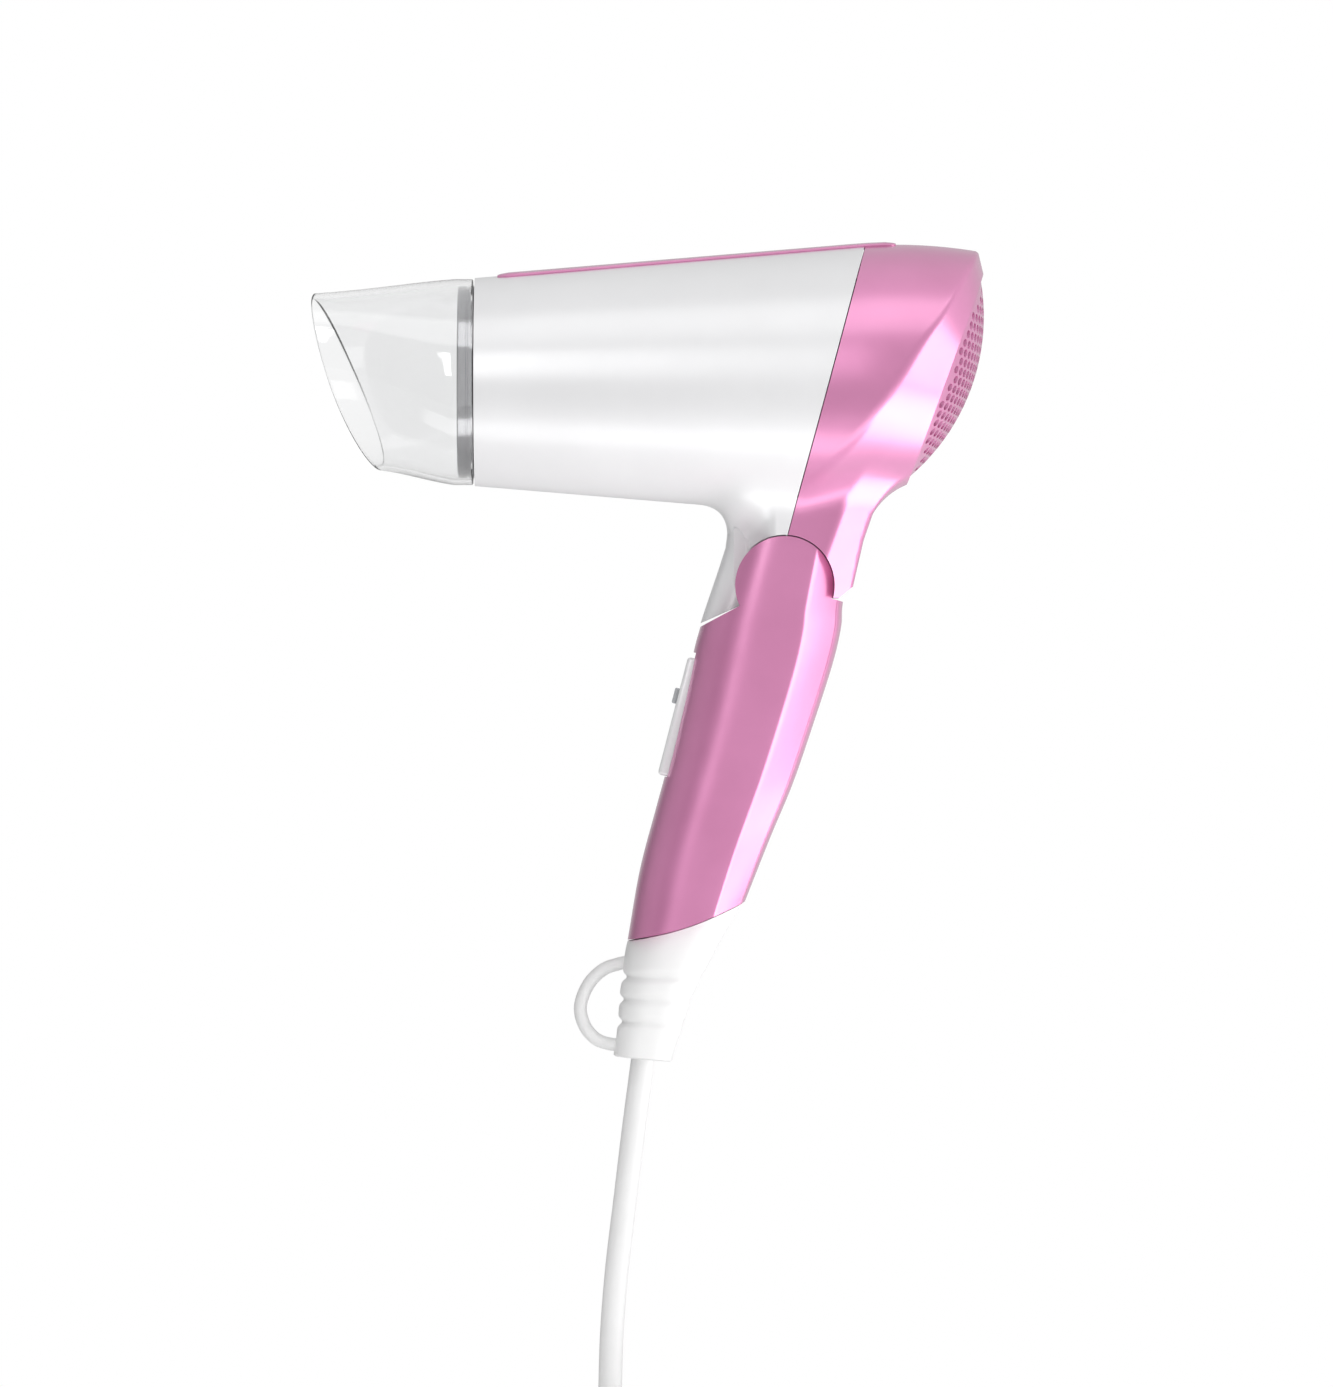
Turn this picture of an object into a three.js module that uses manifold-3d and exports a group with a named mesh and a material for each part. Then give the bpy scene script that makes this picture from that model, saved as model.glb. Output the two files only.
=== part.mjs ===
// A folding travel hair dryer, in millimetres, +Z up.
// The barrel blows towards -X, the handle hangs down, and Y runs across the dryer.
// Everything is laid out from the fold hinge, whose axis is the Y axis through (0, 0, 0) of
// the group called dryer. The finished group is shifted so that its origin is the grip centre.

import * as THREE from 'three';
import { mergeVertices } from 'three/addons/utils/BufferGeometryUtils.js';
import Module from 'manifold-3d';

const wasm = await Module();
wasm.setup();

// ---------------------------------------------------------------- driving dimensions

const GAP = 0.3;                 // clearance between pieces that touch
const WALL = 2.2;                // wall of the moulded housings

const GRIP_X = -14;              // grip centre, seen from the hinge
const GRIP_Z = -50;

const AXIS_Z = 56.6;             // barrel axis above the hinge
const FRONT_X = -85.8;           // barrel front face
const FRONT_R = 28.9;            // barrel radius there
const TAPER = 0.081;             // growth of the barrel radius for each mm to the rear
const SHOULDER_X = 31;           // the barrel stops growing here and rounds off
const SEAM_X = -2.9;             // seam between front and rear housing, at the hinge's height
const SEAM_LEAN = 0.269;         // how far the seam runs to the rear for each mm up
const GRILLE_X = 44.8;           // centre of the intake grille's plane
const GRILLE_Z = 57.5;
const GRILLE_LEAN = 20;          // degrees that the intake leans back to face slightly down
const GRILLE_R = 29.3;           // radius of the grille's flange
const GRILLE_DOME = 7.7;         // height of its dome
const GRILLE_SKIN = 1.6;
const GRILLE_SEAT = 1.9;         // depth of the recess that the grille sits in
const GRILLE_HOLE_R = 2.2;
const GRILLE_PITCH = 7;
const TRIM_THICK = 1.5;          // the strip along the top of the barrel
const TRIM_HALF = 7;
const TRIM_START = 6.3;          // from the barrel's front face

const HANDLE_HALF = 17.5;        // half the width of handle and neck
const EAR_R = 13.6;              // round ear of the handle about the hinge
const EAR_CLEARANCE = 0.45;      // round the ears, where the neck turns past them
const EAR_INNER = 10.4;          // the ears' inner faces, from the middle plane
const TONGUE_HALF = 9;           // the neck's tongue between the ears
const TONGUE_R = 12.5;           // hinge barrel of the tongue
const APRON_R = 24.9;            // front tip of the tongue, from the hinge
const SCREWS = [[-14, -52], [-23, -74]];
const SCREW_R = 1.2;
const SCREW_HEAD_R = 2.6;
const SCREW_SINK = 3.2;          // how far the heads lie below the handle's side
const BOSS_R = 3.4;
const FOLD_LIMIT = 70;           // degrees of fold that the shapes leave room for
const BUSH_R = 5;
const BUSH_BORE_R = 3.4;
const BUSH_SEAT = 2;             // how deep the bush sits in each ear
const WASHER_R = 9;
const SHOULDER_ANGLE = 204.5;    // degrees, where the tongue's front tip meets the handle
const LIP_ANGLE = -14;           // degrees, where the neck's rear lip meets the handle

const SWITCH_X = -28.8;          // middle of the switch plate
const SWITCH_Z = -36.5;
const SWITCH_LEAN = 14.5;        // degrees, lean of the handle's front
const PLATE_HALF_LENGTH = 16.8;
const PLATE_HALF_WIDTH = 6.8;
const PLATE_PROUD = 2.1;         // out of the handle's front
const PLATE_DEEP = 1.6;          // and into it
const SLIDE_TRAVEL = 11;
const KNOB_HALF = 2.2;

const NOZZLE_TURN = 35;          // degrees that the nozzle is turned about the barrel
const MOUTH_X = -121.1;          // middle of the nozzle's mouth
const MOUTH_HALF_LONG = 27.2;
const MOUTH_HALF_SHORT = 17.1;
const MOUTH_SLANT = 9.7;         // how far the mouth's long ends lie before and behind
const MOUTH_BOW = 1.3;
const NOZZLE_WALL = 1.5;
const COLLAR_END_X = -91.5;
const COLLAR_R = FRONT_R - 0.3;

const OUTLET_R = 26.6;           // radius of the outlet ring, inside the nozzle's collar
const OUTLET_WALL = 1.8;
const OUTLET_DEPTH = 3;          // how far the ring reaches in behind the barrel's front lip
const GUARD_THICK = 2;           // the bars of the outlet guard
const GUARD_REACH = 21.5;        // from the axis to the ends of its bars
const GUARD_X = FRONT_X + WALL + OUTLET_DEPTH + GAP;
const HEATER_FRONT_X = GUARD_X + GUARD_THICK + GAP;
const HEATER_REAR_X = -26;
const BOARD_HALF = 18.6;
const BOARD_THICK = 1;
const SLEEVE_R = 23.6;
const COIL_WIRE_R = 0.7;
const HEATER_TURNS = 5;
const FUSE_R = 2;
const MOTOR_R = 12;
const MOTOR_FRONT_X = -14;
const MOTOR_REAR_X = 8;
const SHAFT_R = 1.2;
const FAN_FRONT_X = 12;
const FAN_REAR_X = 25;
const FAN_R = 31;
const FAN_BLADES = 7;

const CORD_D = 6.75;             // mains lead
const FLOOR_Z = -262;            // what the spare cord lies on
const TIE_THICK = 1;
const TIE_HALF = 5;              // half the width of the strap round the coil
const COIL_PITCH = 6.85;         // from turn to turn of the coil
const COIL_START_R = 49.8;       // centre line of the coil's first turn
const COIL_TURNS = 3;            // turns in each of its two layers
const DROP_X = -48.3;            // where the hanging cord comes down
const DROP_Y = 32;               // where it lands, at the coil's edge
const CORD_R = CORD_D / 2;
const CORD_EXIT = [-39.1, 0, -131.1];
const LIE_Z = FLOOR_Z + TIE_THICK + GAP + CORD_R;
const COIL_X = DROP_X + COIL_START_R;
const COIL_IN_R = COIL_START_R - (COIL_TURNS + 0.25) * COIL_PITCH - CORD_R;
const COIL_OUT_R = COIL_START_R + CORD_R + 0.2;
const COIL_LOW = LIE_Z - CORD_R;
const COIL_HIGH = LIE_Z + COIL_PITCH + CORD_R;

const PLUG_LENGTH = 30;
const PLUG_HALF_WIDTH = 12.5;
const PLUG_HALF_THICK = 8.5;
const PLUG_RELIEF = 20;
const PLUG_Z = FLOOR_Z + PLUG_HALF_THICK;
const PLUG_Y = DROP_Y - COIL_START_R - COIL_PITCH - 3;
const PLUG_BACK_X = COIL_X - 26;
const PLUG_FACE_X = PLUG_BACK_X - PLUG_LENGTH;
const PIN_SPACING = 12.7;
const PIN_LENGTH = 17.5;

// ---------------------------------------------------------------- colours and finishes

const plastic = (color, roughness = 0.35) =>
  new THREE.MeshStandardMaterial({ color, roughness, metalness: 0 });
const metal = (color, roughness = 0.3) =>
  new THREE.MeshStandardMaterial({ color, roughness, metalness: 1 });

const WHITE = 0xf1f0f2;
const PINK = 0xdb9fc4;
const DARK = 0x2b2b2e;
const GREY = 0x8d8f94;

// ---------------------------------------------------------------- solids and booleans

// A closed three.js geometry as a solid, its faces turned outwards.
function solid(geometry) {
  const bare = geometry.clone();
  for (const name of ['normal', 'uv']) bare.deleteAttribute(name);
  const merged = mergeVertices(bare, 1e-4);
  const points = merged.attributes.position;
  const corner = [0, 1, 2].map(() => new THREE.Vector3());
  const faces = [];
  let volume = 0;
  for (let i = 0; i < merged.index.count; i += 3) {
    const ids = [0, 1, 2].map((k) => merged.index.getX(i + k));
    if (new Set(ids).size < 3) continue;
    ids.forEach((id, k) => corner[k].fromBufferAttribute(points, id));
    volume += corner[0].dot(corner[1].clone().cross(corner[2]));
    faces.push(ids);
  }
  if (volume < 0) faces.forEach((ids) => ids.reverse());
  return new wasm.Manifold(new wasm.Mesh({
    numProp: 3,
    vertProperties: new Float32Array(points.array),
    triVerts: new Uint32Array(faces.flat()),
  }));
}

function geometryOf(body) {
  const mesh = body.getMesh();
  const geometry = new THREE.BufferGeometry();
  geometry.setAttribute('position', new THREE.BufferAttribute(mesh.vertProperties, 3));
  geometry.setIndex(new THREE.BufferAttribute(mesh.triVerts, 1));
  geometry.computeVertexNormals();
  return geometry;
}

const joined = (first, ...rest) => rest.reduce((sum, piece) => sum.add(piece), first);
const cut = (first, ...rest) => rest.reduce((left, piece) => left.subtract(piece), first);

function named(name, body, material) {
  const mesh = new THREE.Mesh(geometryOf(body), material);
  mesh.name = name;
  return mesh;
}

// A box from its lowest to its highest corner.
function box(low, high) {
  const size = high.map((value, i) => value - low[i]);
  const geometry = new THREE.BoxGeometry(...size);
  return solid(geometry.translate(...low.map((value, i) => value + size[i] / 2)));
}

// An outline in the X-Z plane, made into a plate across Y.
function plate(outline, yLow, yHigh) {
  const shape = new THREE.Shape(outline.map(([x, z]) => new THREE.Vector2(x, z)));
  const geometry = new THREE.ExtrudeGeometry(shape, { depth: yHigh - yLow, bevelEnabled: false });
  return solid(geometry.rotateX(Math.PI / 2).translate(0, yHigh, 0));
}

// A solid turned about the barrel's axis, from points [x, radius].
function turned(profile, segments = 36) {
  const points = profile.map(([x, r]) => new THREE.Vector2(r, x));
  points.push(points[0]);
  const geometry = new THREE.LatheGeometry(points, segments);
  return solid(geometry.rotateZ(-Math.PI / 2).translate(0, 0, AXIS_Z));
}

// A cylinder across the dryer, parallel to the hinge.
function crossPin(x, z, radius, yLow, yHigh, segments = 24) {
  const geometry = new THREE.CylinderGeometry(radius, radius, yHigh - yLow, segments);
  return solid(geometry.translate(x, (yLow + yHigh) / 2, z));
}

// A cylinder along the barrel, off its axis.
function lengthwisePin(xLow, xHigh, y, z, radius, segments = 16) {
  const geometry = new THREE.CylinderGeometry(radius, radius, xHigh - xLow, segments);
  return solid(geometry.rotateZ(Math.PI / 2).translate((xLow + xHigh) / 2, y, z));
}

// A tube swept along points, with a round section of so many sides.
function tube(points, radius, sides, steps) {
  const section = new THREE.Shape();
  for (let i = 0; i < sides; i += 1) {
    const angle = (2 * Math.PI * i) / sides;
    const point = [radius * Math.cos(angle), radius * Math.sin(angle)];
    if (i === 0) section.moveTo(...point);
    else section.lineTo(...point);
  }
  section.closePath();
  const curve = new THREE.CatmullRomCurve3(points.map((point) => new THREE.Vector3(...point)));
  return solid(new THREE.ExtrudeGeometry(section, { steps, extrudePath: curve }));
}

// A skin over rings of points, with its two ends closed, or joined when it is a loop.
function loft(rings, loop = false) {
  const count = rings[0].length;
  const points = rings.flat();
  const index = [];
  const last = loop ? rings.length : rings.length - 1;
  for (let ring = 0; ring < last; ring += 1) {
    for (let i = 0; i < count; i += 1) {
      const a = ring * count + i;
      const b = ring * count + ((i + 1) % count);
      const c = ((ring + 1) % rings.length) * count + i;
      const d = ((ring + 1) % rings.length) * count + ((i + 1) % count);
      index.push(a, b, d, a, d, c);
    }
  }
  if (!loop) {
    const end = (rings.length - 1) * count;
    for (let i = 1; i < count - 1; i += 1) {
      index.push(0, i + 1, i);
      index.push(end, end + i, end + i + 1);
    }
  }
  const geometry = new THREE.BufferGeometry();
  geometry.setAttribute('position', new THREE.Float32BufferAttribute(points.flat(), 3));
  geometry.setIndex(index);
  return solid(geometry);
}

// A rounded section between a front and a rear point of the side view.
function roundedRing([frontX, frontZ], [rearX, rearZ], half, sides = 28, squareness = 3.2) {
  const ring = [];
  const bulge = (value) => Math.sign(value) * Math.abs(value) ** (2 / squareness);
  for (let i = 0; i < sides; i += 1) {
    const angle = (2 * Math.PI * (i + 0.5)) / sides;
    const share = 0.5 - 0.5 * bulge(Math.cos(angle));
    const x = frontX + (rearX - frontX) * share;
    const z = frontZ + (rearZ - frontZ) * share;
    ring.push([x, half * bulge(Math.sin(angle)), z]);
  }
  return ring;
}

const onCircle = (radius, degrees) => {
  const angle = THREE.MathUtils.degToRad(degrees);
  return [radius * Math.cos(angle), radius * Math.sin(angle)];
};

function arc(radius, fromDegrees, toDegrees, steps) {
  const points = [];
  for (let i = 0; i <= steps; i += 1) {
    points.push(onCircle(radius, fromDegrees + ((toDegrees - fromDegrees) * i) / steps));
  }
  return points;
}

// ---------------------------------------------------------------- barrel housings

const barrelRadius = (x) => FRONT_R + TAPER * (Math.min(x, SHOULDER_X) - FRONT_X);
const SHOULDER_R = barrelRadius(SHOULDER_X);
const REAR_X = 58;
const seamX = (z) => SEAM_X + SEAM_LEAN * z;

// The barrel as a solid of revolution, shrunk by inset.
function barrelSolid(inset) {
  const radius = SHOULDER_R - inset;
  return turned([
    [FRONT_X, 0],
    [FRONT_X, FRONT_R - inset],
    [SHOULDER_X, radius],
    [SHOULDER_X + 9, radius - 0.3],
    [SHOULDER_X + 17, radius - 1.5],
    [SHOULDER_X + 22.5, radius - 2.8],
    [REAR_X, radius - 6.5],
    [REAR_X, 0],
  ]);
}

// The neck that joins the barrel to the hinge, as wide as the handle.
function neckSolid() {
  const rows = [
    [onCircle(EAR_R + 0.9, 133), [15, -3.3]],
    [[-15.8, 16.9], [18.9, -0.3]],
    [[-16.8, 19.4], [20.4, 5.6]],
    [[-20.3, 22.3], [22.4, 13.5]],
    [[-27, 24.5], [26.5, 22.3]],
    [[-30, 40], [36, 34]],
  ];
  return loft(rows.map(([front, rear]) => roundedRing(front, rear, HANDLE_HALF)));
}

// The tongue that goes down between the handle's ears.
function tongueSolid() {
  const outline = [
    [-20.3, 24],
    [-16.8, 19.4],
    [-15.8, 16.1],
    [-15.8, 12.8],
    [-17.4, 7.3],
    [-19.6, 0.5],
    [-21.7, -5.8],
    onCircle(APRON_R, SHOULDER_ANGLE - 0.3),
    ...arc(TONGUE_R, SHOULDER_ANGLE - 0.3, 360 + LIP_ANGLE, 12),
    [16, 2],
    [18, 12],
    [22, 30],
    [0, 40],
  ];
  return plate(outline, -TONGUE_HALF, TONGUE_HALF);
}

// The way through the neck for the wires.
function neckVoid() {
  const outline = [
    [-13.4, 42],
    [-13.4, 12],
    [-15.2, 6.8],
    [-17.3, 0.3],
    [-18.9, -4.6],
    [-18, -6.2],
    [-9.4, -2.6],
    [-9.2, 2],
    [-6, 8],
    [6, 8.6],
    [14, 8],
    [17, 14],
    [20, 24],
    [24, 42],
  ];
  return plate(outline, -(TONGUE_HALF - WALL), TONGUE_HALF - WALL);
}

// A piece in the grille's own frame, +Z out of the intake, brought to the rear of the barrel.
function atGrille(geometry) {
  const lean = THREE.MathUtils.degToRad(90 + GRILLE_LEAN);
  return solid(geometry.rotateY(lean).translate(GRILLE_X, 0, GRILLE_Z));
}

const grilleDisc = (radius, low, high, segments = 40) => atGrille(
  new THREE.CylinderGeometry(radius, radius, high - low, segments)
    .rotateX(Math.PI / 2).translate(0, 0, (low + high) / 2));

// Everything behind the plane at this depth, measured out from the grille's plane.
const behindGrille = (depth) => atGrille(
  new THREE.BoxGeometry(200, 200, 100).translate(0, 0, depth + 50));

function bodyShell() {
  const outer = joined(barrelSolid(0), neckSolid(), tongueSolid());
  const airway = barrelSolid(WALL).subtract(behindGrille(-GRILLE_SEAT - WALL));
  const innerAirway = cut(airway, turned([
    [FRONT_X - 1, 0],
    [FRONT_X - 1, FRONT_R],
    [FRONT_X + WALL, FRONT_R],
    [FRONT_X + WALL, 0],
  ]));
  const mouthBore = turned([
    [FRONT_X - 1, 0],
    [FRONT_X - 1, OUTLET_R + GAP],
    [FRONT_X + 1, OUTLET_R + GAP],
    [FRONT_X + WALL + 1, OUTLET_R - 1.5],
    [FRONT_X + WALL + 1, 0],
  ]);
  const earRoom = [-1, 1].map((side) => crossPin(0, 0, EAR_R + EAR_CLEARANCE,
    side > 0 ? TONGUE_HALF : -HANDLE_HALF - 2, side > 0 ? HANDLE_HALF + 2 : -TONGUE_HALF, 40));
  const bushHole = crossPin(0, 0, BUSH_R + GAP, -TONGUE_HALF - 1, TONGUE_HALF + 1);
  const grilleSeat = grilleDisc(GRILLE_R + GAP, -GRILLE_SEAT, 20);
  const intake = grilleDisc(GRILLE_R - 2, -20, 20);
  return cut(outer, behindGrille(0), innerAirway, mouthBore, neckVoid(), ...earRoom, bushHole,
    grilleSeat, intake);
}

// Everything in front of the seam, or behind it.
function seamSide(side) {
  const low = -40;
  const high = 110;
  const far = side < 0 ? -160 : 120;
  const half = (side * GAP) / 2;
  return plate([
    [seamX(low) + half, low],
    [seamX(high) + half, high],
    [far, high],
    [far, low],
  ], -60, 60);
}

function topTrim() {
  const skin = barrelSolid(-TRIM_THICK).subtract(barrelSolid(-GAP));
  return skin.intersect(box([FRONT_X + TRIM_START, -TRIM_HALF, AXIS_Z],
    [SHOULDER_X, TRIM_HALF, AXIS_Z + 60]));
}

function rearGrille() {
  const dome = [];
  const rim = GRILLE_R - 1.2;
  const curve = (rim * rim + GRILLE_DOME * GRILLE_DOME) / (2 * GRILLE_DOME);
  const height = (r, radius) => Math.sqrt(radius * radius - r * r) - (curve - GRILLE_DOME);
  const steps = 4;
  for (let i = steps; i >= 0; i -= 1) {
    const r = (rim * i) / steps;
    dome.push(new THREE.Vector2(r, height(r, curve)));
  }
  const hollowRim = GRILLE_R - 3.4;
  for (let i = 0; i <= steps; i += 1) {
    const r = (hollowRim * i) / steps;
    dome.push(new THREE.Vector2(r, Math.max(height(r, curve - GRILLE_SKIN), -GRILLE_SKIN)));
  }
  dome.push(new THREE.Vector2(hollowRim, -GRILLE_SKIN));
  dome.push(new THREE.Vector2(GRILLE_R, -GRILLE_SKIN));
  dome.push(new THREE.Vector2(GRILLE_R, 0));
  dome.push(dome[0]);
  let panel = atGrille(new THREE.LatheGeometry(dome, 28).rotateX(Math.PI / 2));
  const holes = [];
  for (let ring = 0; ring <= 3; ring += 1) {
    const count = Math.max(1, 6 * ring);
    for (let i = 0; i < count; i += 1) {
      const [x, y] = onCircle(ring * GRILLE_PITCH, (360 * i) / count + 15 * ring);
      const drill = new THREE.CylinderGeometry(GRILLE_HOLE_R, GRILLE_HOLE_R, 20, 5);
      holes.push(atGrille(drill.rotateX(Math.PI / 2).translate(x, y, 2)));
    }
  }
  for (const hole of holes) panel = panel.subtract(hole);
  return panel;
}

// ---------------------------------------------------------------- outlet and heater

function outletRing() {
  return turned([
    [FRONT_X - 4.6, OUTLET_R],
    [FRONT_X - 4.6, OUTLET_R - OUTLET_WALL],
    [FRONT_X + WALL + OUTLET_DEPTH, OUTLET_R - OUTLET_WALL - 2.2],
    [FRONT_X + WALL + OUTLET_DEPTH, OUTLET_R - 2.5],
    [FRONT_X + WALL, OUTLET_R - 2.5],
    [FRONT_X - 0.3, OUTLET_R],
  ]);
}

function outletGrille() {
  const front = GUARD_X;
  const back = front + GUARD_THICK;
  const hoop = (radius) => turned([
    [front, radius - 1.4],
    [front, radius],
    [back, radius],
    [back, radius - 1.4],
  ], 20);
  const bars = [0, 45, 90, 135].map((degrees) => {
    const bar = new THREE.BoxGeometry(GUARD_THICK, 2 * GUARD_REACH, 1.2);
    bar.rotateX(THREE.MathUtils.degToRad(degrees));
    return solid(bar.translate(front + GUARD_THICK / 2, 0, AXIS_Z));
  });
  return joined(hoop(22.4), hoop(15.5), hoop(8.5), ...bars);
}

// One board stands upright and the other lies flat. Each is slotted halfway for the other.
function micaBoard(upright) {
  const half = BOARD_THICK / 2;
  const middle = (HEATER_FRONT_X + HEATER_REAR_X) / 2;
  const thick = upright ? [half, BOARD_HALF] : [BOARD_HALF, half];
  const board = box([HEATER_FRONT_X, -thick[0], AXIS_Z - thick[1]],
    [HEATER_REAR_X, thick[0], AXIS_Z + thick[1]]);
  const slotFrom = upright ? middle - GAP / 2 : HEATER_FRONT_X - 1;
  const slotTo = upright ? HEATER_REAR_X + 1 : middle + GAP / 2;
  const slotHalf = half + GAP;
  const slot = box([slotFrom, -slotHalf, AXIS_Z - slotHalf],
    [slotTo, slotHalf, AXIS_Z + slotHalf]);
  return cut(board, slot);
}

function heaterCoil() {
  const radius = BOARD_HALF + COIL_WIRE_R + 3 * GAP;
  const points = [];
  const steps = HEATER_TURNS * 12;
  for (let i = 0; i <= steps; i += 1) {
    const [y, z] = onCircle(radius, 30 * i);
    const x = HEATER_FRONT_X + 6 + ((HEATER_REAR_X - HEATER_FRONT_X - 12) * i) / steps;
    points.push([x, y, AXIS_Z + z]);
  }
  return tube(points, COIL_WIRE_R, 5, steps + 10);
}

const micaSleeve = () => turned([
  [HEATER_FRONT_X, SLEEVE_R - 0.8],
  [HEATER_FRONT_X, SLEEVE_R],
  [HEATER_REAR_X + 2, SLEEVE_R],
  [HEATER_REAR_X + 2, SLEEVE_R - 0.8],
], 32);

const onBoard = BOARD_THICK / 2 + GAP;

const thermostat = () => box([HEATER_REAR_X - 14, onBoard, AXIS_Z + 3],
  [HEATER_REAR_X - 4, onBoard + 4, AXIS_Z + 11]);

const thermalFuse = () => lengthwisePin(HEATER_REAR_X - 16, HEATER_REAR_X - 5,
  -onBoard - FUSE_R, AXIS_Z + 8, FUSE_R);

// ---------------------------------------------------------------- motor and fan

function motorHolder() {
  const cupR = MOTOR_R + GAP + 1.6;
  const hoopR = barrelRadius(MOTOR_FRONT_X) - WALL - GAP;
  const cup = turned([
    [MOTOR_FRONT_X - 1.5, MOTOR_R - 4],
    [MOTOR_FRONT_X - 1.5, cupR],
    [MOTOR_REAR_X - 4, cupR],
    [MOTOR_REAR_X - 4, MOTOR_R + GAP],
    [MOTOR_FRONT_X - GAP, MOTOR_R + GAP],
    [MOTOR_FRONT_X - GAP, MOTOR_R - 4],
  ], 32);
  const hoop = turned([
    [MOTOR_FRONT_X, hoopR - 1.6],
    [MOTOR_FRONT_X, hoopR],
    [MOTOR_REAR_X - 4, hoopR],
    [MOTOR_REAR_X - 4, hoopR - 1.6],
  ], 40);
  const vanes = [0, 60, 120, 180, 240, 300].map((degrees) => {
    const length = hoopR - 0.8 - (cupR - 0.8);
    const vane = new THREE.BoxGeometry(MOTOR_REAR_X - MOTOR_FRONT_X - 8, length, 1.4);
    vane.translate((MOTOR_REAR_X + MOTOR_FRONT_X) / 2 - 2, cupR - 0.8 + length / 2, 0);
    vane.rotateX(THREE.MathUtils.degToRad(degrees));
    return solid(vane.translate(0, 0, AXIS_Z));
  });
  return joined(cup, hoop, ...vanes);
}

const motor = () => turned([
  [MOTOR_FRONT_X, 0],
  [MOTOR_FRONT_X, MOTOR_R - 1],
  [MOTOR_FRONT_X + 1, MOTOR_R],
  [MOTOR_REAR_X - 1, MOTOR_R],
  [MOTOR_REAR_X, MOTOR_R - 1],
  [MOTOR_REAR_X, 4],
  [MOTOR_REAR_X + 1.4, 4],
  [MOTOR_REAR_X + 1.4, SHAFT_R + GAP],
  [MOTOR_REAR_X - 6, SHAFT_R + GAP],
  [MOTOR_REAR_X - 6, 0],
], 32);

const motorShaft = () => turned([
  [MOTOR_REAR_X - 6 + GAP, 0],
  [MOTOR_REAR_X - 6 + GAP, SHAFT_R],
  [FAN_REAR_X - 3, SHAFT_R],
  [FAN_REAR_X - 3, 0],
], 12);

const rectifierBoard = () => turned([
  [MOTOR_FRONT_X - 5, 0],
  [MOTOR_FRONT_X - 5, MOTOR_R - 2],
  [MOTOR_FRONT_X - 3.4, MOTOR_R - 2],
  [MOTOR_FRONT_X - 3.4, 0],
], 24);

function fan() {
  const hub = turned([
    [FAN_FRONT_X, SHAFT_R + GAP],
    [FAN_FRONT_X, 10],
    [FAN_REAR_X - 4, 9.4],
    [FAN_REAR_X, 5],
    [FAN_REAR_X, 0],
    [FAN_REAR_X - 3 + GAP, 0],
    [FAN_REAR_X - 3 + GAP, SHAFT_R + GAP],
  ], 28);
  const blades = [];
  for (let i = 0; i < FAN_BLADES; i += 1) {
    const rings = [8.6, 16, 23, FAN_R].map((radius, step) => {
      const pitch = THREE.MathUtils.degToRad(38 + 7 * step);
      const chord = 6.2 + 0.6 * step;
      const sweep = 0.05 * step;
      const thick = 0.7;
      return [[-1, -1], [1, -1], [1, 1], [-1, 1]].map(([along, side]) => {
        const u = along * chord;
        const x = u * Math.cos(pitch) - side * thick * Math.sin(pitch);
        const around = u * Math.sin(pitch) + side * thick * Math.cos(pitch);
        const angle = (2 * Math.PI * i) / FAN_BLADES + sweep + around / radius;
        const middle = (FAN_FRONT_X + FAN_REAR_X) / 2 - 1;
        return [middle + x, radius * Math.cos(angle), AXIS_Z + radius * Math.sin(angle)];
      });
    });
    blades.push(loft(rings));
  }
  const bladeRoom = turned([
    [FAN_FRONT_X, SHAFT_R + GAP + 1],
    [FAN_FRONT_X, FAN_R + 2],
    [FAN_REAR_X, FAN_R + 2],
    [FAN_REAR_X, 4],
    [FAN_REAR_X - 4, 4],
    [FAN_REAR_X - 4, SHAFT_R + GAP + 1],
  ]);
  return joined(hub, ...blades.map((blade) => blade.intersect(bladeRoom)));
}

// ---------------------------------------------------------------- concentrator nozzle

// The nozzle's skin at a share of its length, from the round collar to the oval mouth.
function nozzleRing(share, inset, sides = 44) {
  const ring = [];
  for (let i = 0; i < sides; i += 1) {
    const angle = (2 * Math.PI * i) / sides;
    const long = Math.sin(angle);
    const short = Math.cos(angle);
    const ease = share * share * (3 - 2 * share) * 0.35 + share * 0.65;
    const halfLong = COLLAR_R + (MOUTH_HALF_LONG - COLLAR_R) * ease - inset;
    const halfShort = COLLAR_R + (MOUTH_HALF_SHORT - COLLAR_R) * ease - inset;
    const mouthX = MOUTH_X - MOUTH_SLANT * long - MOUTH_BOW * (1 - long * long);
    const turn = THREE.MathUtils.degToRad(NOZZLE_TURN);
    const u = halfShort * short;
    const v = halfLong * long;
    ring.push([
      COLLAR_END_X + (mouthX - COLLAR_END_X) * share,
      u * Math.cos(turn) - v * Math.sin(turn),
      AXIS_Z + u * Math.sin(turn) + v * Math.cos(turn),
    ]);
  }
  return ring;
}

function nozzle() {
  const shares = [0, 0.33, 0.66, 1];
  const collar = (x, inset) => nozzleRing(0, inset).map(([, y, z]) => [x, y, z]);
  const backX = FRONT_X - GAP - 0.2;
  const collarBore = COLLAR_R - OUTLET_R - GAP;
  const outside = shares.map((share) => nozzleRing(share, 0));
  const inside = shares.slice().reverse()
    .map((share) => nozzleRing(share, NOZZLE_WALL + (1 - share) * 0.2));
  return loft([collar(backX, 0), ...outside, ...inside, collar(backX, collarBore)], true);
}

// ---------------------------------------------------------------- handle

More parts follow.
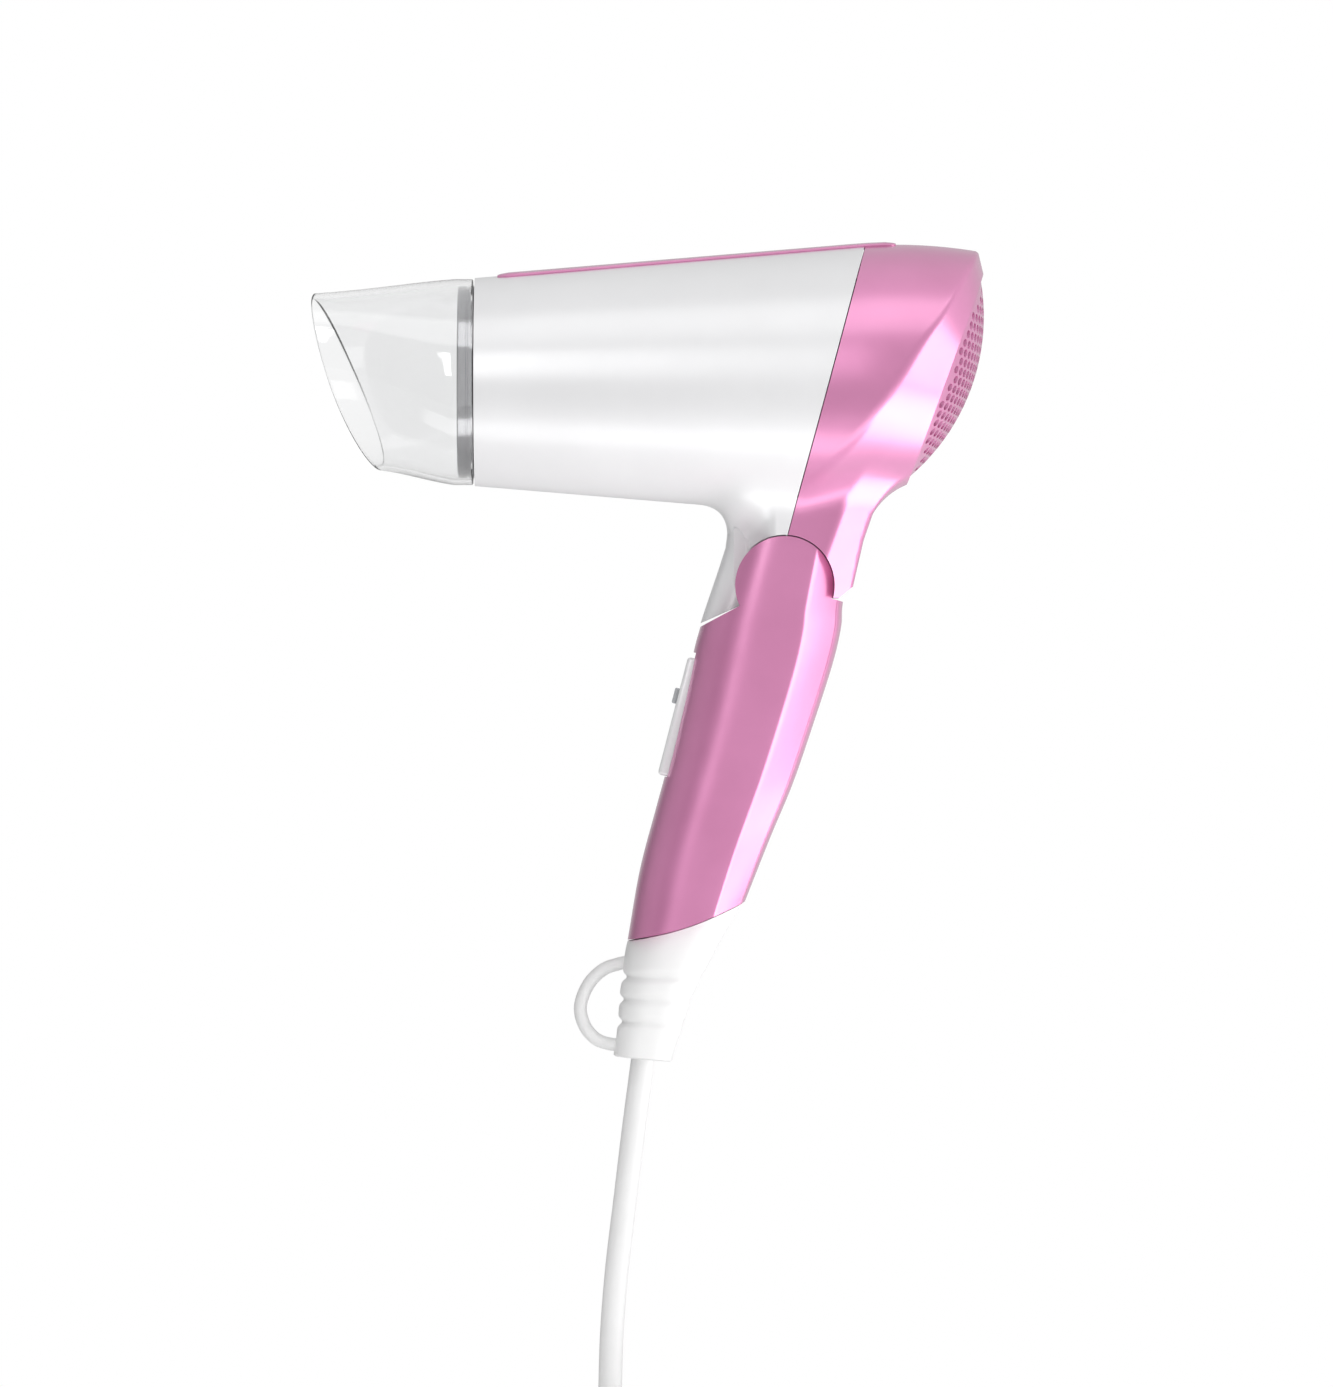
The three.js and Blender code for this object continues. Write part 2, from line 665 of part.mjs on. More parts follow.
// Front and rear points of the handle's side view, from the shoulder down.
const HANDLE_ROWS = [
  [[-12.6, -5.7], [13.2, -3.6]],
  [[-23.2, -11.4], [15.3, -4.2]],
  [[-24.8, -16.5], [16.6, -9.3]],
  [[-27.8, -31], [14, -20]],
  [[-31.8, -48], [8.5, -37.2]],
  [[-36, -62], [2.5, -54.3]],
  [[-40, -78.8], [-3.8, -70]],
  [[-43.3, -98], [-10.8, -87.5]],
];

function along([x0, z0], [x1, z1], distance) {
  const length = Math.hypot(x1 - x0, z1 - z0);
  return [x0 + ((x1 - x0) * distance) / length, z0 + ((z1 - z0) * distance) / length];
}

function handleSolid(inset, rows, half) {
  return loft(rows.map(([front, rear]) => roundedRing(along(front, rear, inset),
    along(rear, front, inset), half - inset)));
}

function handleVoid() {
  const lower = HANDLE_ROWS.slice(3);
  const [front, rear] = HANDLE_ROWS[HANDLE_ROWS.length - 1];
  const floor = [[front[0] + 0.5, front[1] + WALL], [rear[0] + 0.5, rear[1] + WALL]];
  return handleSolid(WALL, [...lower.slice(0, -1), floor], HANDLE_HALF);
}

// The room that the tongue sweeps through as the dryer folds, between the ears.
function tongueRoom() {
  const sweep = [
    [0, 0],
    ...arc(APRON_R + 0.6, SHOULDER_ANGLE - 6, SHOULDER_ANGLE + FOLD_LIMIT + 3, 12),
  ];
  const upper = HANDLE_ROWS.slice(0, 5);
  const between = box([-60, -EAR_INNER, -60], [40, EAR_INNER, 40]);
  const cutTop = [
    onCircle(6, SHOULDER_ANGLE + 20),
    onCircle(60, SHOULDER_ANGLE + 0.9),
    [-50, 40],
    [50, 40],
    onCircle(60, LIP_ANGLE - 1.5),
    onCircle(8, LIP_ANGLE - 20),
  ];
  const inner = handleSolid(WALL, upper, HANDLE_HALF + WALL).intersect(between);
  const wheel = crossPin(0, 0, TONGUE_R + 0.6, -EAR_INNER, EAR_INNER, 40);
  return joined(inner, wheel, plate(sweep, -EAR_INNER, EAR_INNER),
    plate(cutTop, -EAR_INNER, EAR_INNER));
}

// A piece in the switch's own frame: -X out of the handle's front, Z along it.
function atSwitch(body) {
  return body.rotate([0, SWITCH_LEAN, 0]).translate([SWITCH_X, 0, SWITCH_Z]);
}

function handleBody() {
  const ears = crossPin(0, 0, EAR_R, -HANDLE_HALF, HANDLE_HALF, 48);
  const outer = joined(handleSolid(0, HANDLE_ROWS, HANDLE_HALF), ears);
  const window = atSwitch(box([-12, -PLATE_HALF_WIDTH - GAP, -PLATE_HALF_LENGTH - GAP],
    [4, PLATE_HALF_WIDTH + GAP, PLATE_HALF_LENGTH + GAP]));
  const bosses = SCREWS.map(([x, z]) => crossPin(x, z, BOSS_R,
    -HANDLE_HALF + 1, HANDLE_HALF - 1, 16));
  const hollow = cut(outer, handleVoid(), tongueRoom(), window, bootPlug(GAP));
  const holes = SCREWS.flatMap(([x, z]) => [
    crossPin(x, z, SCREW_R + GAP, -HANDLE_HALF + 5, HANDLE_HALF + 1, 12),
    crossPin(x, z, SCREW_HEAD_R + GAP, HANDLE_HALF - SCREW_SINK, HANDLE_HALF + 1, 16),
  ]);
  const bushRoom = crossPin(0, 0, BUSH_R + GAP, -EAR_INNER - BUSH_SEAT, EAR_INNER + BUSH_SEAT);
  return cut(joined(hollow, ...bosses), bushRoom, ...holes);
}

const halfSpace = (side) => (side > 0
  ? box([-100, GAP / 2, -150], [100, 60, 60])
  : box([-100, -60, -150], [100, -GAP / 2, 60]));

const screw = ([x, z]) => joined(
  crossPin(x, z, SCREW_R, -HANDLE_HALF + 5 + GAP, HANDLE_HALF - SCREW_SINK + 0.6, 12),
  crossPin(x, z, SCREW_HEAD_R, HANDLE_HALF - SCREW_SINK + GAP, HANDLE_HALF - SCREW_SINK + 2.2, 16));

function hingeBush() {
  const end = EAR_INNER + BUSH_SEAT - GAP;
  return cut(crossPin(0, 0, BUSH_R, -end, end), crossPin(0, 0, BUSH_BORE_R, -end - 1, end + 1));
}

function frictionWasher(side) {
  const inner = TONGUE_HALF + GAP;
  const outer = EAR_INNER - GAP;
  const span = side > 0 ? [inner, outer] : [-outer, -inner];
  return cut(crossPin(0, 0, WASHER_R, ...span),
    crossPin(0, 0, BUSH_R + GAP, span[0] - 1, span[1] + 1));
}

// ---------------------------------------------------------------- switch

function switchPlate() {
  const low = [-PLATE_PROUD, -PLATE_HALF_WIDTH, -PLATE_HALF_LENGTH];
  const high = [PLATE_DEEP, PLATE_HALF_WIDTH, PLATE_HALF_LENGTH];
  const slot = [SLIDE_TRAVEL / 2 + KNOB_HALF + GAP, KNOB_HALF + GAP];
  const bevel = [-1, 1].map((side) => box([-PLATE_PROUD - 1, -20, -1], [3, 20, 1])
    .rotate([0, side * 40, 0])
    .translate([-PLATE_PROUD - 0.6, 0, side * (PLATE_HALF_LENGTH + 0.1)]));
  const opening = box([-10, -slot[1], -slot[0]], [10, slot[1], slot[0]]);
  return atSwitch(cut(box(low, high), ...bevel, opening));
}

const switchBody = () => atSwitch(box([PLATE_DEEP + GAP, -PLATE_HALF_WIDTH + 0.6, -12],
  [13, PLATE_HALF_WIDTH - 0.6, 12]));

function switchKnob() {
  const rest = SLIDE_TRAVEL / 2;
  const stem = box([-PLATE_PROUD - 1, -KNOB_HALF, rest - KNOB_HALF + 0.2],
    [PLATE_DEEP, KNOB_HALF, rest + KNOB_HALF - 0.2]);
  const cap = box([-PLATE_PROUD - 1.3, -KNOB_HALF - 2, rest - KNOB_HALF],
    [-PLATE_PROUD - GAP, KNOB_HALF + 2, rest + KNOB_HALF]);
  return atSwitch(joined(stem, cap));
}

const capacitor = () => box([-30, -5, -69], [-21, 5, -59.5]);

// ---------------------------------------------------------------- cord boot

const BOOT_ROWS = [
  [[-43.4, -98.6], [-11.8, -88.5], 13.4],
  [[-44.6, -105], [-19.6, -101.4], 12],
  [[-45.4, -113.4], [-24.4, -111.4], 10.6],
  [[-46.2, -122], [-28, -121.4], 9.2],
  [[-47.3, -130], [-31.2, -132], 8],
];

function bootPlug(extra) {
  const half = 7 + extra;
  return loft([
    roundedRing([-37 - extra, -104], [-23 + extra, -99.5], half, 20),
    roundedRing([-33 - extra, -86], [-20 + extra, -82], half, 20),
  ]);
}

function cordBoot() {
  const body = loft(BOOT_ROWS.map(([front, rear, half]) => roundedRing(front, rear, half, 28, 2.6)));
  const grooves = [-109, -116.6, -122.9].map((z, step) => {
    const half = 14 - step;
    const room = box([-60, -half - 4, z - 0.9], [-10, half + 4, z + 0.9]);
    const core = box([-44.4 - step * 0.6, -8.6 + step, z - 3],
      [-25.4 - step * 2.6, 8.6 - step, z + 3]);
    return room.subtract(core);
  });
  const loop = tube([
    [-42.5, 0, -104.6],
    [-48.5, 0, -105.8],
    [-54, 0, -110],
    [-56.6, 0, -117],
    [-54.6, 0, -123.4],
    [-50.4, 0, -126.8],
    [-43, 0, -127.6],
  ], 1.8, 8, 22);
  return joined(cut(body, ...grooves), bootPlug(0), loop);
}

// ---------------------------------------------------------------- cord, coil and plug

function coilRing(extra) {
  const outer = COIL_OUT_R + extra;
  const inner = COIL_IN_R - extra;
  const low = COIL_LOW - extra;
  const high = COIL_HIGH + extra;
  const profile = [
    [inner, low],
    [outer, low],
    [outer, high],
    [inner, high],
    [inner, low],
  ].map(([r, z]) => new THREE.Vector2(r, z));
  const ring = new THREE.LatheGeometry(profile, 48).rotateX(Math.PI / 2);
  return solid(ring.translate(COIL_X, DROP_Y, 0));
}

// The hanging cord: straight out of the boot, then down, then a bend on to the coil.
function hangingCord() {
  const bend = (degrees) => [
    DROP_X,
    DROP_Y * (1 - Math.cos(THREE.MathUtils.degToRad(degrees))),
    LIE_Z + DROP_Y * (1 - Math.sin(THREE.MathUtils.degToRad(degrees))),
  ];
  const points = [
    CORD_EXIT,
    [-41.6, 0, -150],
    [-44.1, 0, -170.7],
    [-46.4, 0, -190],
    [-47.8, 0, -208],
    ...[0, 22.5, 45, 67.5, 90].map(bend),
  ];
  return tube(points, CORD_R, 10, 14).subtract(coilRing(GAP));
}

function cordTie() {
  const innerY = Math.hypot(COIL_IN_R, -TIE_HALF) - (TIE_HALF * TIE_HALF) / COIL_IN_R;
  const low = [COIL_X - TIE_HALF, DROP_Y + innerY - 2 * GAP, COIL_LOW - GAP];
  const high = [COIL_X + TIE_HALF, DROP_Y + COIL_OUT_R + GAP, COIL_HIGH + GAP];
  const band = box(low.map((value, i) => (i ? value - TIE_THICK : value)),
    high.map((value, i) => (i ? value + TIE_THICK : value)));
  return band.subtract(box([low[0] - 1, low[1], low[2]], [high[0] + 1, high[1], high[2]]));
}

function plugBody() {
  const ring = (x, halfWidth, halfThick, squareness = 4) => {
    const flat = roundedRing([-halfThick, 0], [halfThick, 0], halfWidth, 24, squareness);
    return flat.map(([up, across]) => [x, PLUG_Y + across, PLUG_Z + up]);
  };
  return loft([
    ring(PLUG_FACE_X, PLUG_HALF_WIDTH - 1, PLUG_HALF_THICK - 1),
    ring(PLUG_FACE_X + 1.5, PLUG_HALF_WIDTH, PLUG_HALF_THICK),
    ring(PLUG_FACE_X + 14, PLUG_HALF_WIDTH - 0.6, PLUG_HALF_THICK - 0.4),
    ring(PLUG_BACK_X, 7, 6.4, 2.4),
    ring(PLUG_BACK_X + PLUG_RELIEF, CORD_R + 0.8, CORD_R + 0.8, 2),
  ]);
}

function plugPin(side) {
  const y = PLUG_Y + (side * PIN_SPACING) / 2;
  const low = PLUG_FACE_X - GAP - PIN_LENGTH;
  const blade = box([low, y - 0.75, PLUG_Z - 3.2], [PLUG_FACE_X - GAP, y + 0.75, PLUG_Z + 3.2]);
  return blade.subtract(crossPin(low + 3.5, PLUG_Z, 1.5, y - 2, y + 2, 12));
}

// The short end of cord between the coil's last turn and the plug.
function cordTail() {
  const startX = PLUG_BACK_X + PLUG_RELIEF + GAP;
  const points = [
    [startX, PLUG_Y, PLUG_Z],
    [startX + 6, PLUG_Y, PLUG_Z],
    [startX + 14, PLUG_Y + 0.6, PLUG_Z + 0.4],
    [startX + 24, PLUG_Y + 3.4, PLUG_Z + 0.9],
  ];
  return tube(points, CORD_R, 10, 5).subtract(coilRing(GAP));
}

// ---------------------------------------------------------------- the assembly

const shell = bodyShell();
const barrel = new THREE.Group();
barrel.add(
  named('front_housing', shell.intersect(seamSide(-1)), plastic(WHITE)),
  named('rear_housing', shell.intersect(seamSide(1)), plastic(PINK)),
  named('top_trim', topTrim(), plastic(PINK)),
  named('rear_grille', rearGrille(), plastic(PINK)),
  named('outlet_ring', outletRing(), metal(DARK)),
  named('outlet_grille', outletGrille(), plastic(DARK)),
  named('mica_board_upright', micaBoard(true), plastic(0xb9a98a, 0.8)),
  named('mica_board_level', micaBoard(false), plastic(0xb9a98a, 0.8)),
  named('heater_coil', heaterCoil(), metal(0x9a8f86)),
  named('mica_sleeve', micaSleeve(), plastic(0xc4b697, 0.8)),
  named('thermostat', thermostat(), metal(0xb8b8b0)),
  named('thermal_fuse', thermalFuse(), metal(0xc8b070)),
  named('motor_holder', motorHolder(), plastic(0x3a3a3d)),
  named('motor', motor(), metal(0xa9abae)),
  named('rectifier_board', rectifierBoard(), plastic(0x3f6b3c)),
);

const spinner = new THREE.Group();
spinner.add(
  named('fan', fan(), plastic(0x4a4a4e)),
  named('motor_shaft', motorShaft(), metal(0xc9cacc)),
);

const nozzleMaterial = plastic(0xdfe6ea, 0.08);
nozzleMaterial.transparent = true;
nozzleMaterial.opacity = 0.35;

const handle = handleBody();
const grip = new THREE.Group();
grip.add(
  named('handle_left', handle.intersect(halfSpace(-1)), plastic(PINK)),
  named('handle_right', handle.intersect(halfSpace(1)), plastic(PINK)),
  ...SCREWS.map((place, i) => named(`handle_screw_${i + 1}`, screw(place), metal(GREY))),
  named('hinge_bush', hingeBush(), plastic(GREY)),
  named('friction_washer_left', frictionWasher(-1), metal(0xb5b5b5)),
  named('friction_washer_right', frictionWasher(1), metal(0xb5b5b5)),
  named('switch_plate', switchPlate(), plastic(WHITE)),
  named('switch_body', switchBody(), plastic(DARK)),
  named('switch_knob', switchKnob(), plastic(GREY)),
  named('suppression_capacitor', capacitor(), plastic(0xd8c34a)),
  named('cord_boot', cordBoot(), plastic(WHITE, 0.5)),
);

const cord = new THREE.Group();
cord.add(
  named('cord', hangingCord(), plastic(WHITE, 0.5)),
  named('cord_coil', coilRing(0), plastic(WHITE, 0.5)),
  named('cord_tail', cordTail(), plastic(WHITE, 0.5)),
  named('cord_tie', cordTie(), plastic(DARK, 0.8)),
  named('plug_body', plugBody(), plastic(WHITE, 0.5)),
  named('plug_pin_left', plugPin(-1), metal(0xd9c78a)),
  named('plug_pin_right', plugPin(1), metal(0xd9c78a)),
);

const dryer = new THREE.Group();
dryer.add(barrel, spinner, named('nozzle', nozzle(), nozzleMaterial), grip, cord);
dryer.position.set(-GRIP_X, 0, -GRIP_Z);

const group = new THREE.Group();
group.add(dryer);

export default group;
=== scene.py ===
import math

import bmesh
import bpy
import numpy as np
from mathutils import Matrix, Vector


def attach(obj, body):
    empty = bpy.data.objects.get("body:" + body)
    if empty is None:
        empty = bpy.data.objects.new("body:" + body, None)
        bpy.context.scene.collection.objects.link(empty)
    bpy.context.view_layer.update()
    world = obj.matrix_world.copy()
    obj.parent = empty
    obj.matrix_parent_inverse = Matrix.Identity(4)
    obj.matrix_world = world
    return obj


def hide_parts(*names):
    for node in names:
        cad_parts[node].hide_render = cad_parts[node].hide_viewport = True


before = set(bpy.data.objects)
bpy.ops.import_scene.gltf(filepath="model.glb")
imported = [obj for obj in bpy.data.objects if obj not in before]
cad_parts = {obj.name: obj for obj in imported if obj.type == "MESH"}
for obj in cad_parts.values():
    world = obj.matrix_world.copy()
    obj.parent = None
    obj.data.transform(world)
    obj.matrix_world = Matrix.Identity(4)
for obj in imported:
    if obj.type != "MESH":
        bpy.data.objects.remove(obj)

# Shapes are worked out in millimetres from the fold hinge, +Z up, the barrel blowing to -X.
# The row's origin is the grip, so the hinge lies here in the row frame.
HINGE = np.array((14.0, 0.0, 50.0))
MM = 0.001

# Barrel: a cone about its axis, from the front, that bends over into the shoulder.
AXIS_Z = 56.6
FRONT_X = -85.8
FRONT_R = 28.9
TAPER = 0.083
BEND_X = 20.0
BEND = 0.00368
SEAM_X = -2.9
SEAM_LEAN = 0.269
SPIGOT_R = 26.6
WALL = 2.2
GAP = 0.3

# Intake at the rear: a leaning domed panel.
GRILLE_X, GRILLE_Z = 44.8, 57.5
GRILLE_LEAN = math.radians(20)
GRILLE_R = 29.3
GRILLE_DOME = 7.7

# Fold hinge: the neck's round tongue between the handle's ears, and the shoulders either side.
HALF = 17.4
EAR_R = 13.6
EAR_INNER = 10.4
EAR_GAP = 0.35
TONGUE_HALF = 9.0
TONGUE_R = 12.5
BUSH_R = 5.0
SHOULDER_ANGLE = 204.5
LIP_ANGLE = -14.0

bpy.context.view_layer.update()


# ---------------- places and meshes

def row(points):
    """Points in millimetres from the hinge, as metres in the row frame."""
    return (np.asarray(points, float) + HINGE) * MM


def spot(x, y, z):
    return Vector(row((x, y, z)))


def put(name, data):
    """A new object in the scene that shows this data."""
    obj = bpy.data.objects.new(name, data)
    bpy.context.scene.collection.objects.link(obj)
    return obj


def new_mesh(name, points, faces):
    mesh = bpy.data.meshes.new(name)
    mesh.from_pydata([tuple(p) for p in row(points)], [], faces)
    mesh.validate()
    obj = put(name, mesh)
    outward(obj)
    return obj


def outward(obj):
    """Joins doubled points and turns every face outwards."""
    work = bmesh.new()
    work.from_mesh(obj.data)
    bmesh.ops.remove_doubles(work, verts=work.verts, dist=1e-7)
    bmesh.ops.recalc_face_normals(work, faces=work.faces)
    if work.calc_volume(signed=True) < 0:
        bmesh.ops.reverse_faces(work, faces=work.faces)
    work.to_mesh(obj.data)
    work.free()


def modify(obj, kind, **settings):
    """Applies one modifier to a mesh."""
    step = obj.modifiers.new("step", kind)
    for name, value in settings.items():
        setattr(step, name, value)
    graph = bpy.context.evaluated_depsgraph_get()
    graph.update()
    mesh = bpy.data.meshes.new_from_object(obj.evaluated_get(graph))
    obj.modifiers.clear()
    old, obj.data = obj.data, mesh
    bpy.data.meshes.remove(old)
    return obj


def boolean(obj, others, operation="DIFFERENCE"):
    """Cuts with, joins or meets the others in turn, and uses them up."""
    for other in others:
        modify(obj, "BOOLEAN", operation=operation, solver="MANIFOLD", object=other)
    for other in others:
        mesh = other.data
        bpy.data.objects.remove(other)
        bpy.data.meshes.remove(mesh)
    return obj


def read_rows(items, name, width, kind=float):
    """A property of every item, one row for each."""
    values = np.empty(len(items) * width, kind)
    items.foreach_get(name, values)
    return values.reshape(-1, width)


def points_of(obj):
    return read_rows(obj.data.vertices, "co", 3) / MM - HINGE


def set_points(obj, points):
    obj.data.vertices.foreach_set("co", row(points).ravel())
    obj.data.update()


def shade_smooth(mesh, sharp):
    """Smooth shading, apart from edges that turn more than a sharp angle."""
    mesh.polygons.foreach_set("use_smooth", [True] * len(mesh.polygons))
    mesh.set_sharp_from_angle(angle=math.radians(sharp))


def paint(obj, material):
    obj.data.materials.clear()
    obj.data.materials.append(material)


def circle(count, start=0.0):
    """Angles evenly round a circle, the first so many steps on."""
    return [2 * math.pi * (i + start) / count for i in range(count)]


def skin(name, rings, loop=False):
    """A closed skin over rings of points, its two ends closed, or joined when it is a loop."""
    rings = [np.asarray(ring, float) for ring in rings]
    count = len(rings[0])
    faces = []
    last = len(rings) if loop else len(rings) - 1
    for r in range(last):
        low = r * count
        high = ((r + 1) % len(rings)) * count
        for i in range(count):
            j = (i + 1) % count
            faces.append((low + i, low + j, high + j, high + i))
    if not loop:
        faces.append(tuple(range(count)))
        end = (len(rings) - 1) * count
        faces.append(tuple(end + i for i in range(count)))
    return new_mesh(name, np.vstack(rings), faces)


def turned(name, profile, segments=128):
    """A ring turned about the barrel's axis, from points (x, radius), none of them on the axis."""
    rings = [[(x, r * math.cos(a), AXIS_Z + r * math.sin(a)) for x, r in profile]
             for a in circle(segments)]
    return skin(name, rings, loop=True)


def disc(name, profile, segments, place):
    """A solid of revolution whose profile (height, radius) starts and ends near the axis."""
    rings = []
    for height, r in profile:
        r = max(r, 0.01)
        ring = [(r * math.cos(a), r * math.sin(a), height) for a in circle(segments)]
        rings.append(place(np.array(ring)))
    return skin(name, rings)


def along_barrel(points):
    """Local +Z becomes +X on the barrel's axis."""
    x, y, z = points.T
    return np.stack((z, y, AXIS_Z - x), axis=1)


def across(cx, cz):
    """Local +Z becomes +Y, about a point of the side view."""
    def place(points):
        x, y, z = points.T
        return np.stack((cx + x, z, cz + y), axis=1)
    return place


def at_grille(points):
    """Local +Z becomes the direction out of the intake, local +Y its upward slope."""
    x, y, z = np.asarray(points, float).T
    c, s = math.cos(GRILLE_LEAN), math.sin(GRILLE_LEAN)
    return np.stack((GRILLE_X + z * c + y * s, x, GRILLE_Z - z * s + y * c), axis=1)


def pin(name, cx, cz, radius, low, high, segments=64):
    return disc(name, [(low, radius), (high, radius)], segments, across(cx, cz))


def prism(name, outline, low, high):
    """A plate across Y from an outline of the side view."""
    count = len(outline)
    points = [(x, y, z) for y in (low, high) for x, z in outline]
    faces = [tuple(range(count)), tuple(range(count, 2 * count))]
    for i in range(count):
        j = (i + 1) % count
        faces.append((i, j, count + j, count + i))
    return new_mesh(name, points, faces)


def box_at(name, middle, half):
    points = [(middle[0] + sx * half[0], middle[1] + sy * half[1], middle[2] + sz * half[2])
              for sx in (-1, 1) for sy in (-1, 1) for sz in (-1, 1)]
    faces = [(0, 1, 3, 2), (4, 6, 7, 5), (0, 4, 5, 1), (2, 3, 7, 6), (0, 2, 6, 4), (1, 5, 7, 3)]
    return new_mesh(name, points, faces)


def bevel(obj, width, segments=2):
    return modify(obj, "BEVEL", width=width * MM, segments=segments, limit_method="ANGLE",
                  angle_limit=math.radians(35))


def on_circle(radius, degrees):
    angle = math.radians(degrees)
    return radius * math.cos(angle), radius * math.sin(angle)


def arc(radius, start, end, steps):
    return [on_circle(radius, start + (end - start) * i / steps) for i in range(steps + 1)]


def ease(share):
    """A share from 0 to 1 that starts and ends gently."""
    share = np.clip(share, 0, 1)
    return share * share * (3 - 2 * share)


def rounded_slab(middle_u, middle_v, half_u, half_v, power, sides=48):
    """Points (u, v) of a rounded rectangle, squarer for a higher power."""
    out = []
    for a in circle(sides, 0.5):
        c, s = math.cos(a), math.sin(a)
        out.append((middle_u + half_u * math.copysign(abs(c) ** (2 / power), c),
                    middle_v + half_v * math.copysign(abs(s) ** (2 / power), s)))
    return out


def smooth_line(points, steps):
    """A Catmull-Rom line through points, with so many steps between each two."""
    p = np.asarray(points, float)
    p = np.vstack((2 * p[0] - p[1], p, 2 * p[-1] - p[-2]))
    out = []
    for i in range(1, len(p) - 2):
        for k in range(steps):
            t = k / steps
            out.append(0.5 * (2 * p[i] + (p[i + 1] - p[i - 1]) * t
                              + (2 * p[i - 1] - 5 * p[i] + 4 * p[i + 1] - p[i + 2]) * t ** 2
                              + (3 * p[i] - p[i - 1] - 3 * p[i + 1] + p[i + 2]) * t ** 3))
    out.append(p[-2])
    return np.array(out)


def finish_piece(obj, material, body, slot, *replaced, sharp=30):
    """Shading, material, body and replaced nodes; sharp=None leaves the shading alone; slot is not
    used.
    """
    if sharp is not None:
        shade_smooth(obj.data, sharp)
    paint(obj, material)
    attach(obj, body)
    if replaced:
        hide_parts(*replaced)
    return obj


# ---------------- camera, light and floor

VIEW_X, VIEW_Z = -32.6, -29.9
VIEW_HEIGHT = 385.3
CAMERA_AWAY = 3200.0
FLOOR_Z = -262.0
FLOOR_HALF = 560


def make_camera():
    """A long lens from far off, level with the middle of the view."""
    data = bpy.data.cameras.new("camera")
    data.sensor_width = 36
    data.lens = 36 * CAMERA_AWAY / VIEW_HEIGHT
    data.clip_end = 20
    camera = put("camera", data)
    camera.location = spot(VIEW_X, -CAMERA_AWAY, VIEW_Z)
    camera.rotation_euler = (math.radians(90), 0, 0)
    bpy.context.scene.camera = camera


# Each row: a name, a place and a target from the hinge, a width and a height, and a brightness.
LIGHTS = [("overhead", (-20, -430, 690), (-20, -30, 57), (1000, 440), 1.15),
          ("low", (-20, -185, -247), (-20, -35, 57), (640, 190), 1.3),
          ("low_right", (350, -70, -252), (350, -70, 0), (340, 360), 3.6),
          ("strip_left", (-330, -1000, 370), (-15, -15, 10), (110, 480), 9.0),
          ("strip_right", (900, -380, -130), (5, -15, -20), (420, 620), 3.3)]
# Each row: a direction, the cosines between which the light changes, and its two levels.
ROOM_LIGHT = [((0, -1, 0), 0.35, 0.9, 0.78, 0.42), ((0, 0, 1), 0.0, 0.9, 0.0, 0.02),
              ((-1, 0, 0), 0.2, 0.8, 0.0, -0.40), ((0, 1, 0), 0.1, 0.8, 0.0, -0.25)]


def area_light(name, place, target, size, bright):
    """A rectangular lamp that is as bright at any size."""
    data = bpy.data.lights.new(name, "AREA")
    data.shape = "RECTANGLE"
    data.size, data.size_y = size[0] * MM, size[1] * MM
    data.energy = math.pi * data.size * data.size_y * bright
    light = put(name, data)
    light.visible_camera = False
    light.location = spot(*place)
    direction = spot(*target) - spot(*place)
    light.rotation_mode = "QUATERNION"
    light.rotation_quaternion = direction.to_track_quat("-Z", "Y")


def set_inputs(node, values):
    for name, value in values.items():
        node.inputs[name].default_value = value


def make_world():
    """White behind the object, lit from all round, but less from the front, left and back."""
    world = bpy.data.worlds.new("studio")
    bpy.context.scene.world = world
    world.use_nodes = True
    nodes, links = world.node_tree.nodes, world.node_tree.links
    nodes.clear()
    kinds = ("OutputWorld", "MixShader", "Background", "Background", "LightPath", "Math", "TexCoord")
    out, mix, seen, room, path, through, place = [nodes.new("ShaderNode" + kind) for kind in kinds]
    through.operation = "MAXIMUM"
    links.new(path.outputs["Is Camera Ray"], through.inputs[0])
    links.new(path.outputs["Is Transmission Ray"], through.inputs[1])
    total = None
    for axis, start, end, low, high in ROOM_LIGHT:
        facing = nodes.new("ShaderNodeVectorMath")
        facing.operation = "DOT_PRODUCT"
        facing.inputs[1].default_value = axis
        links.new(place.outputs["Generated"], facing.inputs[0])
        share = nodes.new("ShaderNodeMapRange")
        share.interpolation_type = "SMOOTHSTEP"
        set_inputs(share, {"From Min": start, "From Max": end, "To Min": low, "To Max": high})
        links.new(facing.outputs["Value"], share.inputs["Value"])
        if total is None:
            total = share.outputs["Result"]
            continue
        both = nodes.new("ShaderNodeMath")
        links.new(total, both.inputs[0])
        links.new(share.outputs["Result"], both.inputs[1])
        total = both.outputs["Value"]
    links.new(total, room.inputs["Strength"])
    for background in (room, seen):
        set_inputs(background, {"Color": (1, 1, 1, 1)})
    links.new(through.outputs["Value"], mix.inputs["Fac"])
    links.new(room.outputs["Background"], mix.inputs[1])
    links.new(seen.outputs["Background"], mix.inputs[2])
    links.new(mix.outputs["Shader"], out.inputs["Surface"])


def make_stage():
    bpy.context.scene.view_settings.view_transform = "Standard"
    make_world()
    for light in LIGHTS:
        area_light(*light)
    corners = [(FLOOR_HALF * sx, FLOOR_HALF * sy, FLOOR_Z - 1)
               for sx, sy in ((-1, -1), (1, -1), (1, 1), (-1, 1))]
    floor = new_mesh("floor", corners, [(0, 1, 2, 3)])
    floor.data.materials.append(plain("floor_paint", (0.92, 0.92, 0.92), 0.9))


# ---------------- materials

def shader(name):
    material = bpy.data.materials.new(name)
    material.use_nodes = True
    tree = material.node_tree
    return material, tree, tree.nodes["Principled BSDF"]


def plain(name, color, roughness):
    material, _, surface = shader(name)
    set_inputs(surface, {"Base Color": (*color, 1), "Roughness": roughness})
    return material


